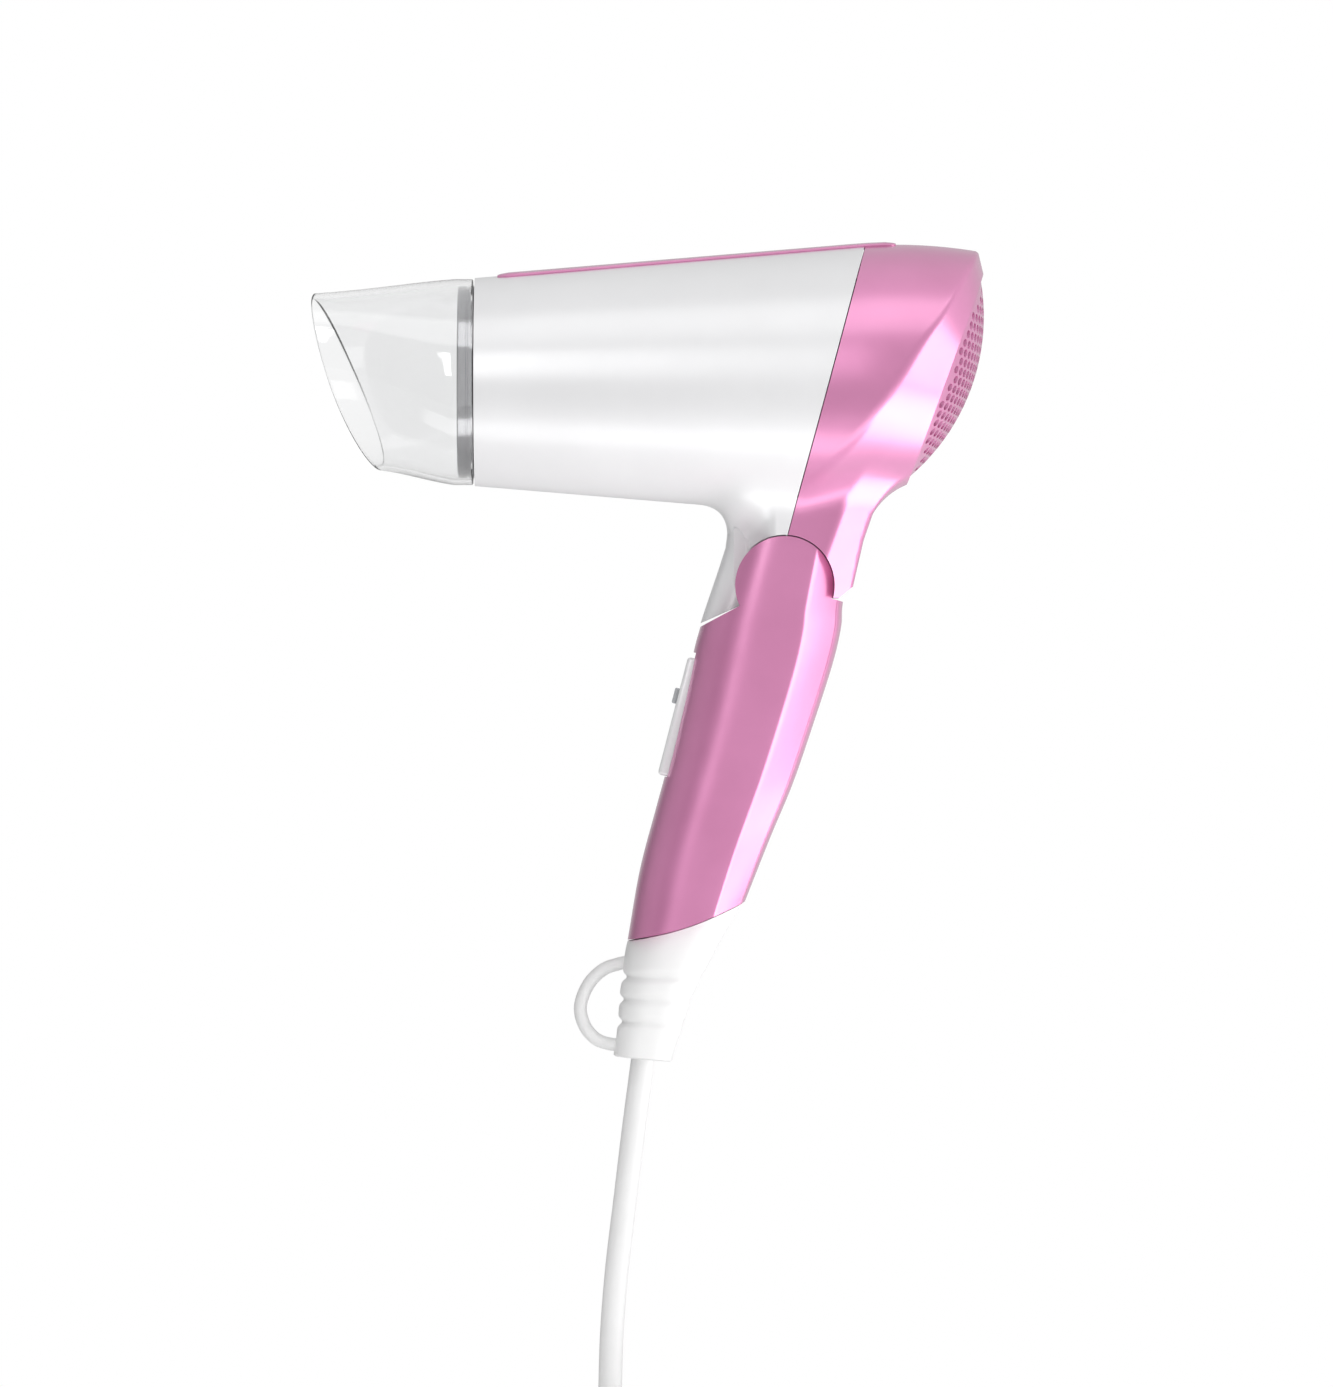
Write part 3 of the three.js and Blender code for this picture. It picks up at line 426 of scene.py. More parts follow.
def noise_of(tree, scale, detail=3.0, kind="ShaderNodeTexNoise"):
    place = tree.nodes.new("ShaderNodeTexCoord")
    noise = tree.nodes.new(kind)
    noise.inputs["Scale"].default_value = scale
    if "Detail" in noise.inputs:
        noise.inputs["Detail"].default_value = detail
    tree.links.new(place.outputs["Object"], noise.inputs["Vector"])
    return noise


def cloudy_color(tree, surface, scale, low, high):
    """A colour that wanders between two shades."""
    cloud = noise_of(tree, scale)
    ramp = tree.nodes.new("ShaderNodeValToRGB")
    for stop, position, color in zip(ramp.color_ramp.elements, (0.3, 0.7), (low, high)):
        stop.position = position
        stop.color = (*color, 1)
    tree.links.new(cloud.outputs["Fac"], ramp.inputs["Fac"])
    tree.links.new(ramp.outputs["Color"], surface.inputs["Base Color"])


def uneven_gloss(tree, surface, scale, detail, roughness):
    smear = noise_of(tree, scale, detail)
    spread = tree.nodes.new("ShaderNodeMapRange")
    set_inputs(spread, {"To Min": roughness[0], "To Max": roughness[1]})
    tree.links.new(smear.outputs["Fac"], spread.inputs["Value"])
    tree.links.new(spread.outputs["Result"], surface.inputs["Roughness"])


def bump_of(tree, source, strength, depth):
    bump = tree.nodes.new("ShaderNodeBump")
    set_inputs(bump, {"Strength": strength, "Distance": depth * MM})
    tree.links.new(source, bump.inputs["Height"])
    return bump


def moulded(name, low, high, roughness, metallic=0.0, coat=0.0, coat_roughness=0.1,
            grain=900.0, bump=0.12, depth=0.02, flakes=0.0):
    """Moulded or painted plastic: cloudy colour, uneven gloss and a fine grain."""
    material, tree, surface = shader(name)
    cloudy_color(tree, surface, 45.0, low, high)
    uneven_gloss(tree, surface, 140.0, 4.0, roughness)
    fine = noise_of(tree, grain, 2.0)
    height = bump_of(tree, fine.outputs["Fac"], bump, depth)
    if flakes:
        flake = noise_of(tree, 3200.0, kind="ShaderNodeTexVoronoi")
        sparkle = bump_of(tree, flake.outputs["Distance"], flakes, 0.02)
        tree.links.new(height.outputs["Normal"], sparkle.inputs["Normal"])
        height = sparkle
    tree.links.new(height.outputs["Normal"], surface.inputs["Normal"])
    set_inputs(surface, {"Metallic": metallic, "Coat Weight": coat,
                         "Coat Roughness": coat_roughness})
    return material


def clear_plastic():
    material, tree, surface = shader("clear_plastic")
    cloudy_color(tree, surface, 30.0, (0.915, 0.918, 0.92), (0.94, 0.942, 0.945))
    uneven_gloss(tree, surface, 90.0, 3.0, (0.03, 0.07))
    set_inputs(surface, {"Transmission Weight": 1.0, "IOR": 1.45})
    return material


def brushed(name, low, high, roughness=(0.25, 0.4)):
    return moulded(name, low, high, roughness, metallic=1.0, grain=1500.0, bump=0.15)


def make_materials():
    return {
        "white": moulded("pearl_white_plastic", (0.85, 0.85, 0.86), (0.88, 0.88, 0.89),
                         (0.29, 0.35), metallic=0.14, coat=0.3, coat_roughness=0.2, flakes=0.02),
        "pink": moulded("pink_pearl_paint", (0.73, 0.26, 0.49), (0.79, 0.29, 0.54),
                        (0.28, 0.36), metallic=0.5, coat=1.0, coat_roughness=0.2, flakes=0.08),
        "clear": clear_plastic(),
        "dark_metal": brushed("dark_outlet_metal", (0.38, 0.38, 0.39), (0.46, 0.46, 0.47),
                              (0.10, 0.18)),
        "dark": moulded("dark_plastic", (0.030, 0.030, 0.033), (0.045, 0.045, 0.048), (0.4, 0.55)),
        "mica": moulded("mica_sheet", (0.42, 0.33, 0.20), (0.60, 0.50, 0.33), (0.5, 0.7),
                        grain=300.0, bump=0.3),
        "wire": brushed("heater_wire", (0.30, 0.26, 0.22), (0.42, 0.37, 0.33)),
        "steel": brushed("steel", (0.55, 0.55, 0.56), (0.68, 0.68, 0.69)),
        "brass": brushed("plated_brass", (0.70, 0.55, 0.28), (0.80, 0.66, 0.38)),
        "board": moulded("circuit_board", (0.03, 0.12, 0.04), (0.05, 0.18, 0.06), (0.4, 0.5)),
        "grey": moulded("grey_plastic", (0.42, 0.43, 0.45), (0.48, 0.49, 0.51), (0.35, 0.5)),
        "yellow": moulded("capacitor_case", (0.62, 0.45, 0.06), (0.70, 0.52, 0.10), (0.3, 0.4)),
        "cable": moulded("soft_white_pvc", (0.76, 0.76, 0.76), (0.82, 0.82, 0.82), (0.38, 0.50),
                         grain=700.0, bump=0.1),
        "tie": moulded("tie_fabric", (0.02, 0.02, 0.022), (0.05, 0.05, 0.055), (0.8, 0.95),
                       grain=2500.0, bump=0.6, depth=0.1),
    }


# ---------------- cord, coil and plug

CORD_D = 6.75
CORD_R = CORD_D / 2
TIE_THICK, TIE_HALF = 1.0, 5.0
COIL_PITCH = 6.85
COIL_START_R = 49.8
COIL_TURNS = 3
TURN_STEPS = 36
CLIMB_SHARE = 0.25
TOP_LAYER_IN = 0.6
DROP_X, DROP_Y = -48.3, 32.0
LIE_Z = FLOOR_Z + TIE_THICK + GAP + CORD_R
COIL_X = DROP_X + COIL_START_R
PLUG_HALF_WIDTH, PLUG_HALF_THICK = 12.5, 8.5
PLUG_Z = FLOOR_Z + PLUG_HALF_THICK
PLUG_Y = DROP_Y - COIL_START_R - COIL_PITCH - 3
PLUG_BACK_X = COIL_X - 26
PLUG_FACE_X = PLUG_BACK_X - 30
PLUG_RELIEF = 20.0
PIN_SPACING = 12.7
PIN_LENGTH = 17.5
CORD_EXIT = (-39.1, 0.0, -131.1)


def around_coil(radius, degrees, z):
    x, y = on_circle(radius, degrees)
    return COIL_X + x, DROP_Y + y, z


def cord_route():
    """Straight out of the boot, down, a bend to the floor, two flat layers of turns, the plug."""
    points = [
        CORD_EXIT,
        (-41.6, 0, -150),
        (-44.1, 0, -170.7),
        (-46.4, 0, -190),
        (-47.8, 0, -208),
        (DROP_X, 0, LIE_Z + DROP_Y),
    ]
    points = [tuple(p) for p in smooth_line(points, 4)]
    bend_steps = 8
    for i in range(1, bend_steps + 1):
        a = math.pi / 2 * i / bend_steps
        points.append((DROP_X, DROP_Y * (1 - math.cos(a)), LIE_Z + DROP_Y * (1 - math.sin(a))))
    turn = 360 / TURN_STEPS
    angle, radius = 180.0, COIL_START_R
    for _ in range(COIL_TURNS * TURN_STEPS):
        angle -= turn
        radius -= COIL_PITCH / TURN_STEPS
        points.append(around_coil(radius, angle, LIE_Z))
    climb_steps = TURN_STEPS // 2
    for i in range(1, climb_steps + 1):
        angle -= turn
        radius -= CLIMB_SHARE * COIL_PITCH / climb_steps
        points.append(around_coil(radius, angle, LIE_Z + COIL_PITCH * ease(i / climb_steps)))
    spread = (COIL_START_R - TOP_LAYER_IN - radius) / (COIL_TURNS * TURN_STEPS)
    for _ in range(COIL_TURNS * TURN_STEPS):
        angle -= turn
        radius += spread
        points.append(around_coil(radius, angle, LIE_Z + COIL_PITCH))
    away = DROP_Y - PLUG_Y
    leave_steps = 9
    for i in range(1, leave_steps + 1):
        share = i / leave_steps
        points.append(around_coil(radius + (away - radius) * ease(share), angle - 90 * share,
                                  LIE_Z + COIL_PITCH + (PLUG_Z - LIE_Z - COIL_PITCH) * ease(share)))
    points.append((PLUG_BACK_X + PLUG_RELIEF - 1, PLUG_Y, PLUG_Z))
    return np.array(points)


def make_cord(mats):
    route = cord_route()
    line = bpy.data.curves.new("mains_lead", "CURVE")
    line.dimensions = "3D"
    line.bevel_depth = CORD_R * MM
    line.bevel_resolution = 5
    line.use_fill_caps = True
    spline = line.splines.new("POLY")
    spline.points.add(len(route) - 1)
    for place, point in zip(spline.points, row(route)):
        place.co = (*point, 1)
    spline.use_smooth = True
    lead = put("mains_lead", line)
    line.materials.append(mats["cable"])
    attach(lead, "handle")
    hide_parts("cord", "cord_coil", "cord_tail")
    return lead


def plug_ring(x, half_width, half_thick, power):
    return [(x, PLUG_Y + u, PLUG_Z + v)
            for u, v in rounded_slab(0, 0, half_width, half_thick, power)]


def make_plug(mats):
    """The plug's body, slimmer towards the cord, with grip cuts and a ribbed relief."""
    face, back = PLUG_FACE_X, PLUG_BACK_X
    rings = []
    for dx, less_wide, less_thick, power in (
            (0, 1.2, 1.2, 4), (0.35, 0.5, 0.5, 4), (1.2, 0, 0, 4), (8, 0, 0, 4),
            (14, 0.7, 0.4, 3.8), (20, 2.3, 0.7, 3.2), (25, 4.2, 1.5, 2.7), (30, 5.5, 2.1, 2.3)):
        wide, thick = PLUG_HALF_WIDTH - less_wide, PLUG_HALF_THICK - less_thick
        rings.append(plug_ring(face + dx, wide, thick, power))
    ribs = 5
    step = PLUG_RELIEF / ribs
    for i in range(ribs):
        at = back + step * i
        wide = 6.6 - 2.4 * i / ribs
        deep = wide - 0.9
        for dx, size in ((0.1, deep), (0.3 * step, deep), (0.4 * step, wide), (0.9 * step, wide)):
            rings.append(plug_ring(at + dx, size, min(size, 6.3), 2))
    rings.append(plug_ring(back + PLUG_RELIEF, CORD_R + 0.3, CORD_R + 0.3, 2))
    body = skin("plug_moulding", rings)
    grips = []
    for side in (-1, 1):
        for k in range(4):
            x = face + 6 + 3 * k
            grips.append(box_at("grip_cut", (x, PLUG_Y + side * (PLUG_HALF_WIDTH + 0.2), PLUG_Z),
                                (0.7, 0.7, 4.5)))
    boolean(body, grips)
    return finish_piece(body, mats["cable"], "handle", "white_cable", "plug_body")


def make_pins(mats):
    pins = []
    for side, name in ((-1, "left"), (1, "right")):
        y = PLUG_Y + side * PIN_SPACING / 2
        root = PLUG_FACE_X - GAP
        low = root - PIN_LENGTH
        outline = [(low, PLUG_Z - 2.2), (low + 1.2, PLUG_Z - 3.2), (root, PLUG_Z - 3.2),
                   (root, PLUG_Z + 3.2), (low + 1.2, PLUG_Z + 3.2), (low, PLUG_Z + 2.2)]
        blade = prism(f"blade_{name}", outline, y - 0.75, y + 0.75)
        boolean(blade, [pin("hole", low + 3.5, PLUG_Z, 1.5, y - 3, y + 3, 32)])
        bevel(blade, 0.2)
        pins.append(finish_piece(blade, mats["brass"], "handle", "brass", f"plug_pin_{name}"))
    return pins


def make_tie(mats):
    """A soft strap round the coil's section."""
    inner = COIL_START_R - (COIL_TURNS + CLIMB_SHARE) * COIL_PITCH - CORD_R
    outer = COIL_START_R + CORD_R + 0.2
    low_y, high_y = DROP_Y + inner - 0.6, DROP_Y + outer + GAP
    low_z, high_z = LIE_Z - CORD_R - GAP, LIE_Z + COIL_PITCH + CORD_R + GAP
    mid_y, mid_z = (low_y + high_y) / 2, (low_z + high_z) / 2
    half_y, half_z = (high_y - low_y) / 2, (high_z - low_z) / 2
    thick = TIE_THICK - 0.1
    inside = rounded_slab(mid_y, mid_z, half_y, half_z, 9, 64)
    outside = rounded_slab(mid_y, mid_z, half_y + thick, half_z + thick, 9, 64)
    near, far = COIL_X - TIE_HALF, COIL_X + TIE_HALF
    rings = [[(near, *i), (near, *o), (far, *o), (far, *i)] for i, o in zip(inside, outside)]
    tie = skin("coil_tie", rings, loop=True)
    return finish_piece(tie, mats["tie"], "handle", "tie_fabric", "cord_tie")


# ---------------- barrel and neck skin

def barrel_radius(x):
    """Radius of the barrel at x: a cone that bends over into the round shoulder."""
    past = np.maximum(x - BEND_X, 0)
    return FRONT_R + TAPER * (x - FRONT_X) - BEND * past ** 2


NECK_FRONT = [(-26.5, -20.0), (-23.2, -10.5), (-21.6, -5.6), (-19.6, 0.2), (-17.6, 6.2),
              (-16.2, 10.6), (-15.7, 14.5), (-15.6, 40.0)]
NECK_REAR = [(15.5, -14.0), (18.9, -1.0), (20.4, 5.6), (22.0, 12.5), (24.6, 20.0), (33.0, 36.0)]


def line_x(points, z):
    """X of a side-view line at height z."""
    return np.interp(z, [p[1] for p in points], [p[0] for p in points])


def rounded_box(u, v, half_u, half_v, radius):
    qu = np.abs(u) - (half_u - radius)
    qv = np.abs(v) - (half_v - radius)
    out = np.hypot(np.maximum(qu, 0), np.maximum(qv, 0))
    return out + np.minimum(np.maximum(qu, qv), 0) - radius


def soft_max(a, b, k):
    """The larger of two fields, blended over a width k where they meet."""
    h = np.maximum(k - np.abs(a - b), 0) / k
    return np.maximum(a, b) + h * h * k / 4


FACET_ANGLE = math.radians(34)
NECK_TOP = 44.0
NECK_CORNER = 8.0
NECK_BLEND = 8.0
SKIN_CELL = 1.15


def side_facet(x, y, crease_x, crease_y):
    """Distance past the plane that cuts the side away behind a crease."""
    return (x - crease_x) * math.sin(FACET_ANGLE) + (np.abs(y) - crease_y) * math.cos(FACET_ANGLE)


def neck_distance(p):
    """The neck: a rounded box between its front and rear lines, slim where it enters the handle."""
    x, y, z = p.T
    front, rear = line_x(NECK_FRONT, z), line_x(NECK_REAR, z)
    slim = ease((24 - z) / 12) * ease((-x - 2) / 9)
    half = HALF - (HALF - TONGUE_HALF + 0.25) * slim
    body = rounded_box(x - (front + rear) / 2, y, (rear - front) / 2, half, NECK_CORNER)
    crease = 8.9 + 0.37 * z
    body = soft_max(body, side_facet(x, y, crease, HALF - 0.3), 0.8)
    return soft_max(body, z - NECK_TOP, 4.0)


def facet_distance(p):
    """The cone that slopes in from the crease to the rim of the intake."""
    x, y, z = p.T
    dx, dz = x - GRILLE_X, z - GRILLE_Z
    c, s = math.cos(GRILLE_LEAN), math.sin(GRILLE_LEAN)
    out, up = dx * c - dz * s, dx * s + dz * c
    r = np.hypot(y, up)
    high = np.clip(up / np.maximum(r, 1e-6), 0, 1) ** 2
    slope = 0.62 + 0.9 * high
    return (r - (31.0 - slope * out)) / np.sqrt(1 + slope ** 2)


def body_distance(p):
    """Distance outside the barrel and neck together."""
    x, y, z = p.T
    barrel = (np.hypot(y, z - AXIS_Z) - barrel_radius(x)) * 0.997
    barrel = soft_max(barrel, facet_distance(p), 0.9)
    return -soft_max(-barrel, -neck_distance(p), NECK_BLEND)


def gradient(field, p, step=0.02):
    """The field's slope at each point, by central differences."""
    out = np.empty_like(p)
    for k in range(3):
        shift = np.zeros(3)
        shift[k] = step
        out[:, k] = (field(p + shift) - field(p - shift)) / (2 * step)
    return out


def pull_to(obj, field, free):
    """Moves vertices on to the field's zero surface, apart from those that free leaves out."""
    points = points_of(obj)
    move = free(points)
    for _ in range(7):
        p = points[move]
        slope = gradient(field, p)
        size = np.maximum((slope ** 2).sum(axis=1), 0.2)
        step = slope * (field(p) / size)[:, None]
        points[move] = p - np.clip(step, -2, 2)
    set_points(obj, points)


def shade_from(obj, field, tolerance=0.06):
    """Normals from the field where a face lies on its surface, flat or smooth elsewhere."""
    mesh = obj.data
    shade_smooth(mesh, 35)
    points = points_of(obj)
    slope = gradient(field, points)
    slope /= np.maximum(np.linalg.norm(slope, axis=1), 1e-9)[:, None]
    near = np.abs(field(points)) < tolerance
    vertex = read_rows(mesh.loops, "vertex_index", 1, int)[:, 0]
    corners = read_rows(mesh.corner_normals, "vector", 3)
    sizes = read_rows(mesh.polygons, "loop_total", 1, int)[:, 0]
    flat = np.repeat(read_rows(mesh.polygons, "normal", 3), sizes, axis=0)
    first = np.concatenate(([0], np.cumsum(sizes)[:-1]))
    whole = np.repeat(np.logical_and.reduceat(near[vertex], first), sizes)
    wanted = slope[vertex]
    on_skin = near[vertex] & (whole | ((flat * wanted).sum(axis=1) > 0.80))
    normals = np.where(on_skin[:, None], wanted, corners)
    mesh.normals_split_custom_set([tuple(n) for n in normals])


def outer_body():
    """Barrel and neck as one smooth skin, open nowhere, longer than the finished housings."""
    rings = []
    for x in np.linspace(FRONT_X - 6, 70, 70):
        r = float(barrel_radius(np.array(min(x, 56.0))))
        rings.append([(x, r * math.cos(a), AXIS_Z + r * math.sin(a)) for a in circle(120)])
    barrel = skin("outer", rings)
    neck = []
    for z in np.linspace(-19, NECK_TOP, 30):
        front, rear = float(line_x(NECK_FRONT, z)), float(line_x(NECK_REAR, z))
        neck.append([(u, v, z) for u, v in
                     rounded_slab((front + rear) / 2, 0, (rear - front) / 2, HALF, 4, 64)])
    boolean(barrel, [skin("neck", neck)], "UNION")
    modify(barrel, "REMESH", mode="VOXEL", voxel_size=SKIN_CELL * MM)
    pull_to(barrel, body_distance, lambda p: (p[:, 0] > FRONT_X - 3) & (p[:, 2] > -17))
    return barrel


def seam_half(side):
    """Everything in front of the leaning seam (-1) or behind it (1)."""
    low, high = -60.0, 120.0
    far = -170.0 if side < 0 else 120.0
    seam = SEAM_X + side * GAP / 2
    return prism("seam_side", [(seam + SEAM_LEAN * low, low), (seam + SEAM_LEAN * high, high),
                               (far, high), (far, low)], -70, 70)


def hinge_wheel():
    """The round end of the neck that turns between the handle's ears."""
    outline = arc(TONGUE_R, SHOULDER_ANGLE - 0.4, 360 + LIP_ANGLE, 40)
    outline += [(15.5, 2.0), (15.5, 16.0), (-14.0, 16.0), (-14.0, 0.0)]
    return prism("hinge_wheel", outline, -TONGUE_HALF, TONGUE_HALF)


def inner_airway():
    """The hollow of the barrel, a wall inside its skin, ending before the intake."""
    profile = [(FRONT_X + WALL, 0.01), (FRONT_X + WALL, FRONT_R - WALL)]
    for x in np.linspace(FRONT_X + 6, 50, 14):
        profile.append((x, float(barrel_radius(np.array(x))) - WALL))
    profile.append((50, 0.01))
    shape = disc("airway", profile, 96, along_barrel)
    behind = disc("behind", [(-5.5, 90), (60, 90)], 8, at_grille)
    facet = disc("facet", [(-220, 150), (-60, 62), (-5.5, 32.5), (-5.4, 32.5)], 96, at_grille)
    boolean(shape, [behind])
    return boolean(shape, [facet], "INTERSECT")


def neck_way():
    """The cable's way from the barrel down through the neck."""
    outline = [(-13.4, 42), (-13.4, 12), (-15.2, 6.8), (-17.3, 0.3), (-18.9, -4.6), (-18, -6.2),
               (-9.4, -2.6), (-9.2, 2), (-6, 8), (6, 8.6), (14, 8), (16, 14), (18, 24), (20, 42)]
    inner = TONGUE_HALF - 2 * WALL
    return prism("neck_way", outline, -inner, inner)


def make_housings(mats):
    """Cuts the smooth skin into the white front housing and the pink rear housing."""
    body = outer_body()
    edge = SHOULDER_ANGLE - 0.4
    shoulder = [on_circle(90, edge), on_circle(8, edge),
                (9, -3.4), (15.2, -3.4), (18.9, -0.35), (60, -0.35), (60, -60), (-90, -60)]
    below = prism("below", shoulder, -30, 30)
    front_cut = box_at("front_cut", (FRONT_X - 30, 0, AXIS_Z), (30, 60, 60))
    rear_cut = disc("rear_cut", [(0, 90), (60, 90)], 8, at_grille)
    boolean(body, [front_cut, rear_cut, below])
    boolean(body, [hinge_wheel()], "UNION")
    ears = [pin("ear_room", 0, 0, EAR_R + EAR_GAP, low, high, 128)
            for low, high in ((TONGUE_HALF, 40), (-40, -TONGUE_HALF))]
    seat = [disc("seat", [(-GRILLE_SEAT, GRILLE_R + 0.25), (20, GRILLE_R + 0.25)], 128, at_grille),
            disc("way_in", [(-20, GRILLE_R - 2), (20, GRILLE_R - 2)], 96, at_grille)]
    mouth_r = SPIGOT_R + GAP
    mouth = disc("mouth", [(FRONT_X - 2, mouth_r), (FRONT_X + 1, mouth_r),
                           (FRONT_X + WALL + 1, mouth_r - 1.8)], 128, along_barrel)
    bush = pin("bush_way", 0, 0, BUSH_R + GAP, -20, 20)
    boolean(body, [inner_airway(), neck_way(), mouth, bush] + ears + seat)
    rear = put("rear_shell", body.data.copy())
    body.name = "front_shell"
    boolean(body, [seam_half(-1)], "INTERSECT")
    boolean(rear, [seam_half(1)], "INTERSECT")
    for shell in (body, rear):
        shade_from(shell, body_distance)
    finish_piece(body, mats["white"], "barrel", "pearl_white", "front_housing", sharp=None)
    finish_piece(rear, mats["pink"], "barrel", "pink_metallic", "rear_housing", sharp=None)


TRIM_START, TRIM_END_X = 6.3, 31.0
TRIM_HALF, TRIM_THICK = 7.2, 0.8


def make_trim(mats):
    """The strip that lies along the top of the barrel."""
    start, end = FRONT_X + TRIM_START, TRIM_END_X
    rings = []
    for x in np.concatenate(([start, start + 0.25, start + 0.8], np.linspace(start + 3, end - 3, 24),
                             [end - 0.8, end - 0.25, end])):
        edge = min(x - start, end - x)
        thick = TRIM_THICK * min(1.0, 0.45 + edge / 3)
        half = TRIM_HALF - max(0.0, 1.5 - edge)
        r = float(barrel_radius(np.array(x)))
        ring = []
        for u, v in ((-1, 0.1), (-1, 0.6), (-0.93, 1), (-0.5, 1), (0, 1), (0.5, 1), (0.93, 1),
                     (1, 0.6), (1, 0.1), (0.5, 0.1), (0, 0.1), (-0.5, 0.1)):
            a = u * half / r
            rr = r - 0.1 + (thick + 0.1) * (v - 0.1) / 0.9
            ring.append((x, rr * math.sin(a), AXIS_Z + rr * math.cos(a)))
        rings.append(ring)
    trim = skin("trim_strip", rings)
    return finish_piece(trim, mats["pink"], "barrel", "pink_metallic", "top_trim", sharp=40)


GRILLE_SEAT = 1.9
GRILLE_WALL = 1.0
GRILLE_EDGE = 0.35
HOLE_PITCH = 3.0
HOLE_WIDE, HOLE_HIGH = 1.2, 1.12
HOLE_SIDES = 12


def make_grille(mats):
    """The domed intake panel with its staggered oval holes."""
    rim = GRILLE_R - GRILLE_EDGE
    back = GAP - GRILLE_SEAT
    rows = 24
    curve = (rim ** 2 + GRILLE_DOME ** 2) / (2 * GRILLE_DOME)
    inner = []
    outer = []
    for i in range(rows + 1):
        r = rim * i / rows
        outer.append((math.sqrt(curve ** 2 - r ** 2) - curve + GRILLE_DOME, r))
        r = (GRILLE_R - 3.4) * i / rows
        height = math.sqrt((curve - GRILLE_WALL) ** 2 - r ** 2) - curve + GRILLE_DOME
        inner.append((max(height, back), r))
    edge = [(back, GRILLE_R), (-GRILLE_EDGE, GRILLE_R), (0, rim)]
    panel = disc("intake_panel", inner + edge + outer[::-1], 128, at_grille)
    points, faces = [], []
    count = HOLE_SIDES
    for i in range(-12, 13):
        for j in range(-12, 13):
            u = HOLE_PITCH * (i + 0.5 * (j % 2))
            v = HOLE_PITCH * 0.866 * j
            if math.hypot(u, v) > rim - 2.0:
                continue
            base = len(points)
            ring = [(u + HOLE_WIDE * math.cos(a), v + HOLE_HIGH * math.sin(a))
                    for a in circle(count)]
            points += [(u, v, -6) for u, v in ring] + [(u, v, 14) for u, v in ring]
            faces.append(tuple(base + k for k in range(count))[::-1])
            faces.append(tuple(base + count + k for k in range(count)))
            for k in range(count):
                m = (k + 1) % count
                faces.append((base + k, base + m, base + count + m, base + count + k))
    holes = new_mesh("holes", at_grille(np.array(points)), faces)
    boolean(panel, [holes])
    return finish_piece(panel, mats["pink"], "barrel", "pink_metallic", "rear_grille", sharp=28)


# ---------------- nozzle and outlet

NOZZLE_TURN = math.radians(35)
MOUTH_X, MOUTH_LONG, MOUTH_SHORT = -121.1, 27.2, 17.1
MOUTH_SLANT, MOUTH_BOW = 9.7, 1.3
COLLAR_END_X = -91.5
COLLAR_R = FRONT_R - 0.3
NOZZLE_WALL = 1.5


def about_axis(u, v, angle):
    """Y and Z of a point (u, v) turned about the barrel's axis."""
    c, s = math.cos(angle), math.sin(angle)
    return u * c - v * s, AXIS_Z + u * s + v * c


def nozzle_ring(share, inset):
    """A ring of the nozzle, from the round collar (0) to the slanted oval mouth (1)."""
    flow = ease(share) * 0.35 + share * 0.65
    ring = []
    for a in circle(160):
        long, short = math.sin(a), math.cos(a)
        u = (COLLAR_R + (MOUTH_SHORT - COLLAR_R) * flow - inset) * short
        v = (COLLAR_R + (MOUTH_LONG - COLLAR_R) * flow - inset) * long
        end = MOUTH_X - MOUTH_SLANT * long - MOUTH_BOW * (1 - long * long)
        x = COLLAR_END_X + (end - COLLAR_END_X) * share
        ring.append((x, *about_axis(u, v, NOZZLE_TURN)))
    return np.array(ring)


def make_nozzle(mats):
    """One closed clear wall: up the outside, round the mouth and back down the inside."""
    wall = NOZZLE_WALL
    back = FRONT_X - 0.5
    bore = COLLAR_R - SPIGOT_R - GAP

    def collar(x, inset):
        ring = nozzle_ring(0, inset)
        ring[:, 0] = x
        return ring

    shares = [k / 14 for k in range(15)]
    rings = [collar(back, 0.3), collar(back - 0.3, 0)]
    rings += [nozzle_ring(s, 0) for s in shares[:-1]]
    rings += [nozzle_ring(0.993, 0.02), nozzle_ring(1, 0.35), nozzle_ring(1, wall - 0.35),
              nozzle_ring(0.993, wall - 0.02)]
    rings += [nozzle_ring(s, wall + (1 - s) * 0.2) for s in shares[::-1][1:]]
    rings += [collar(back, bore)]
    nozzle = skin("clear_nozzle", rings, loop=True)
    return finish_piece(nozzle, mats["clear"], "nozzle", "clear_plastic", "nozzle", sharp=40)


def make_outlet(mats):
    """The dark ring that the nozzle turns on, and the guard of hoops and bars behind it."""
    profile = [(-4.6, -0.4), (-4.6, -1.4), (-4.2, -1.8), (5.2, -4.0), (5.2, -2.5), (2.2, -2.5),
               (-0.3, 0), (-1.6, 0), (-1.7, -0.35), (-2.1, -0.35), (-2.2, 0), (-4.2, 0)]
    ring = turned("outlet_spigot", [(FRONT_X + x, SPIGOT_R + r) for x, r in profile])
    finish_piece(ring, mats["dark_metal"], "barrel", "dark_metal", "outlet_ring", sharp=25)
    front = FRONT_X + 5.5
    section = [(0, -0.9), (0.3, -1.2), (2, -1.2), (2, 0), (0.3, 0), (0, -0.3)]
    parts = []
    for radius in (22.4, 18.9, 15.5, 12.0, 8.5, 4.5):
        parts.append(turned("hoop", [(front + x, radius + r) for x, r in section], 96))
    for k in range(4):
        bar = box_at("bar", (front + 1.05, 0, 0), (0.9, 21.6, 0.55))
        p = points_of(bar)
        p[:, 1], p[:, 2] = about_axis(p[:, 1], p[:, 2], math.pi / 4 * k)
        set_points(bar, p)
        parts.append(bar)
    guard = parts[0]
    boolean(guard, parts[1:], "UNION")
    guard.name = "outlet_guard"
    return finish_piece(guard, mats["dark"], "barrel", "dark_plastic", "outlet_grille")


# ---------------- handle

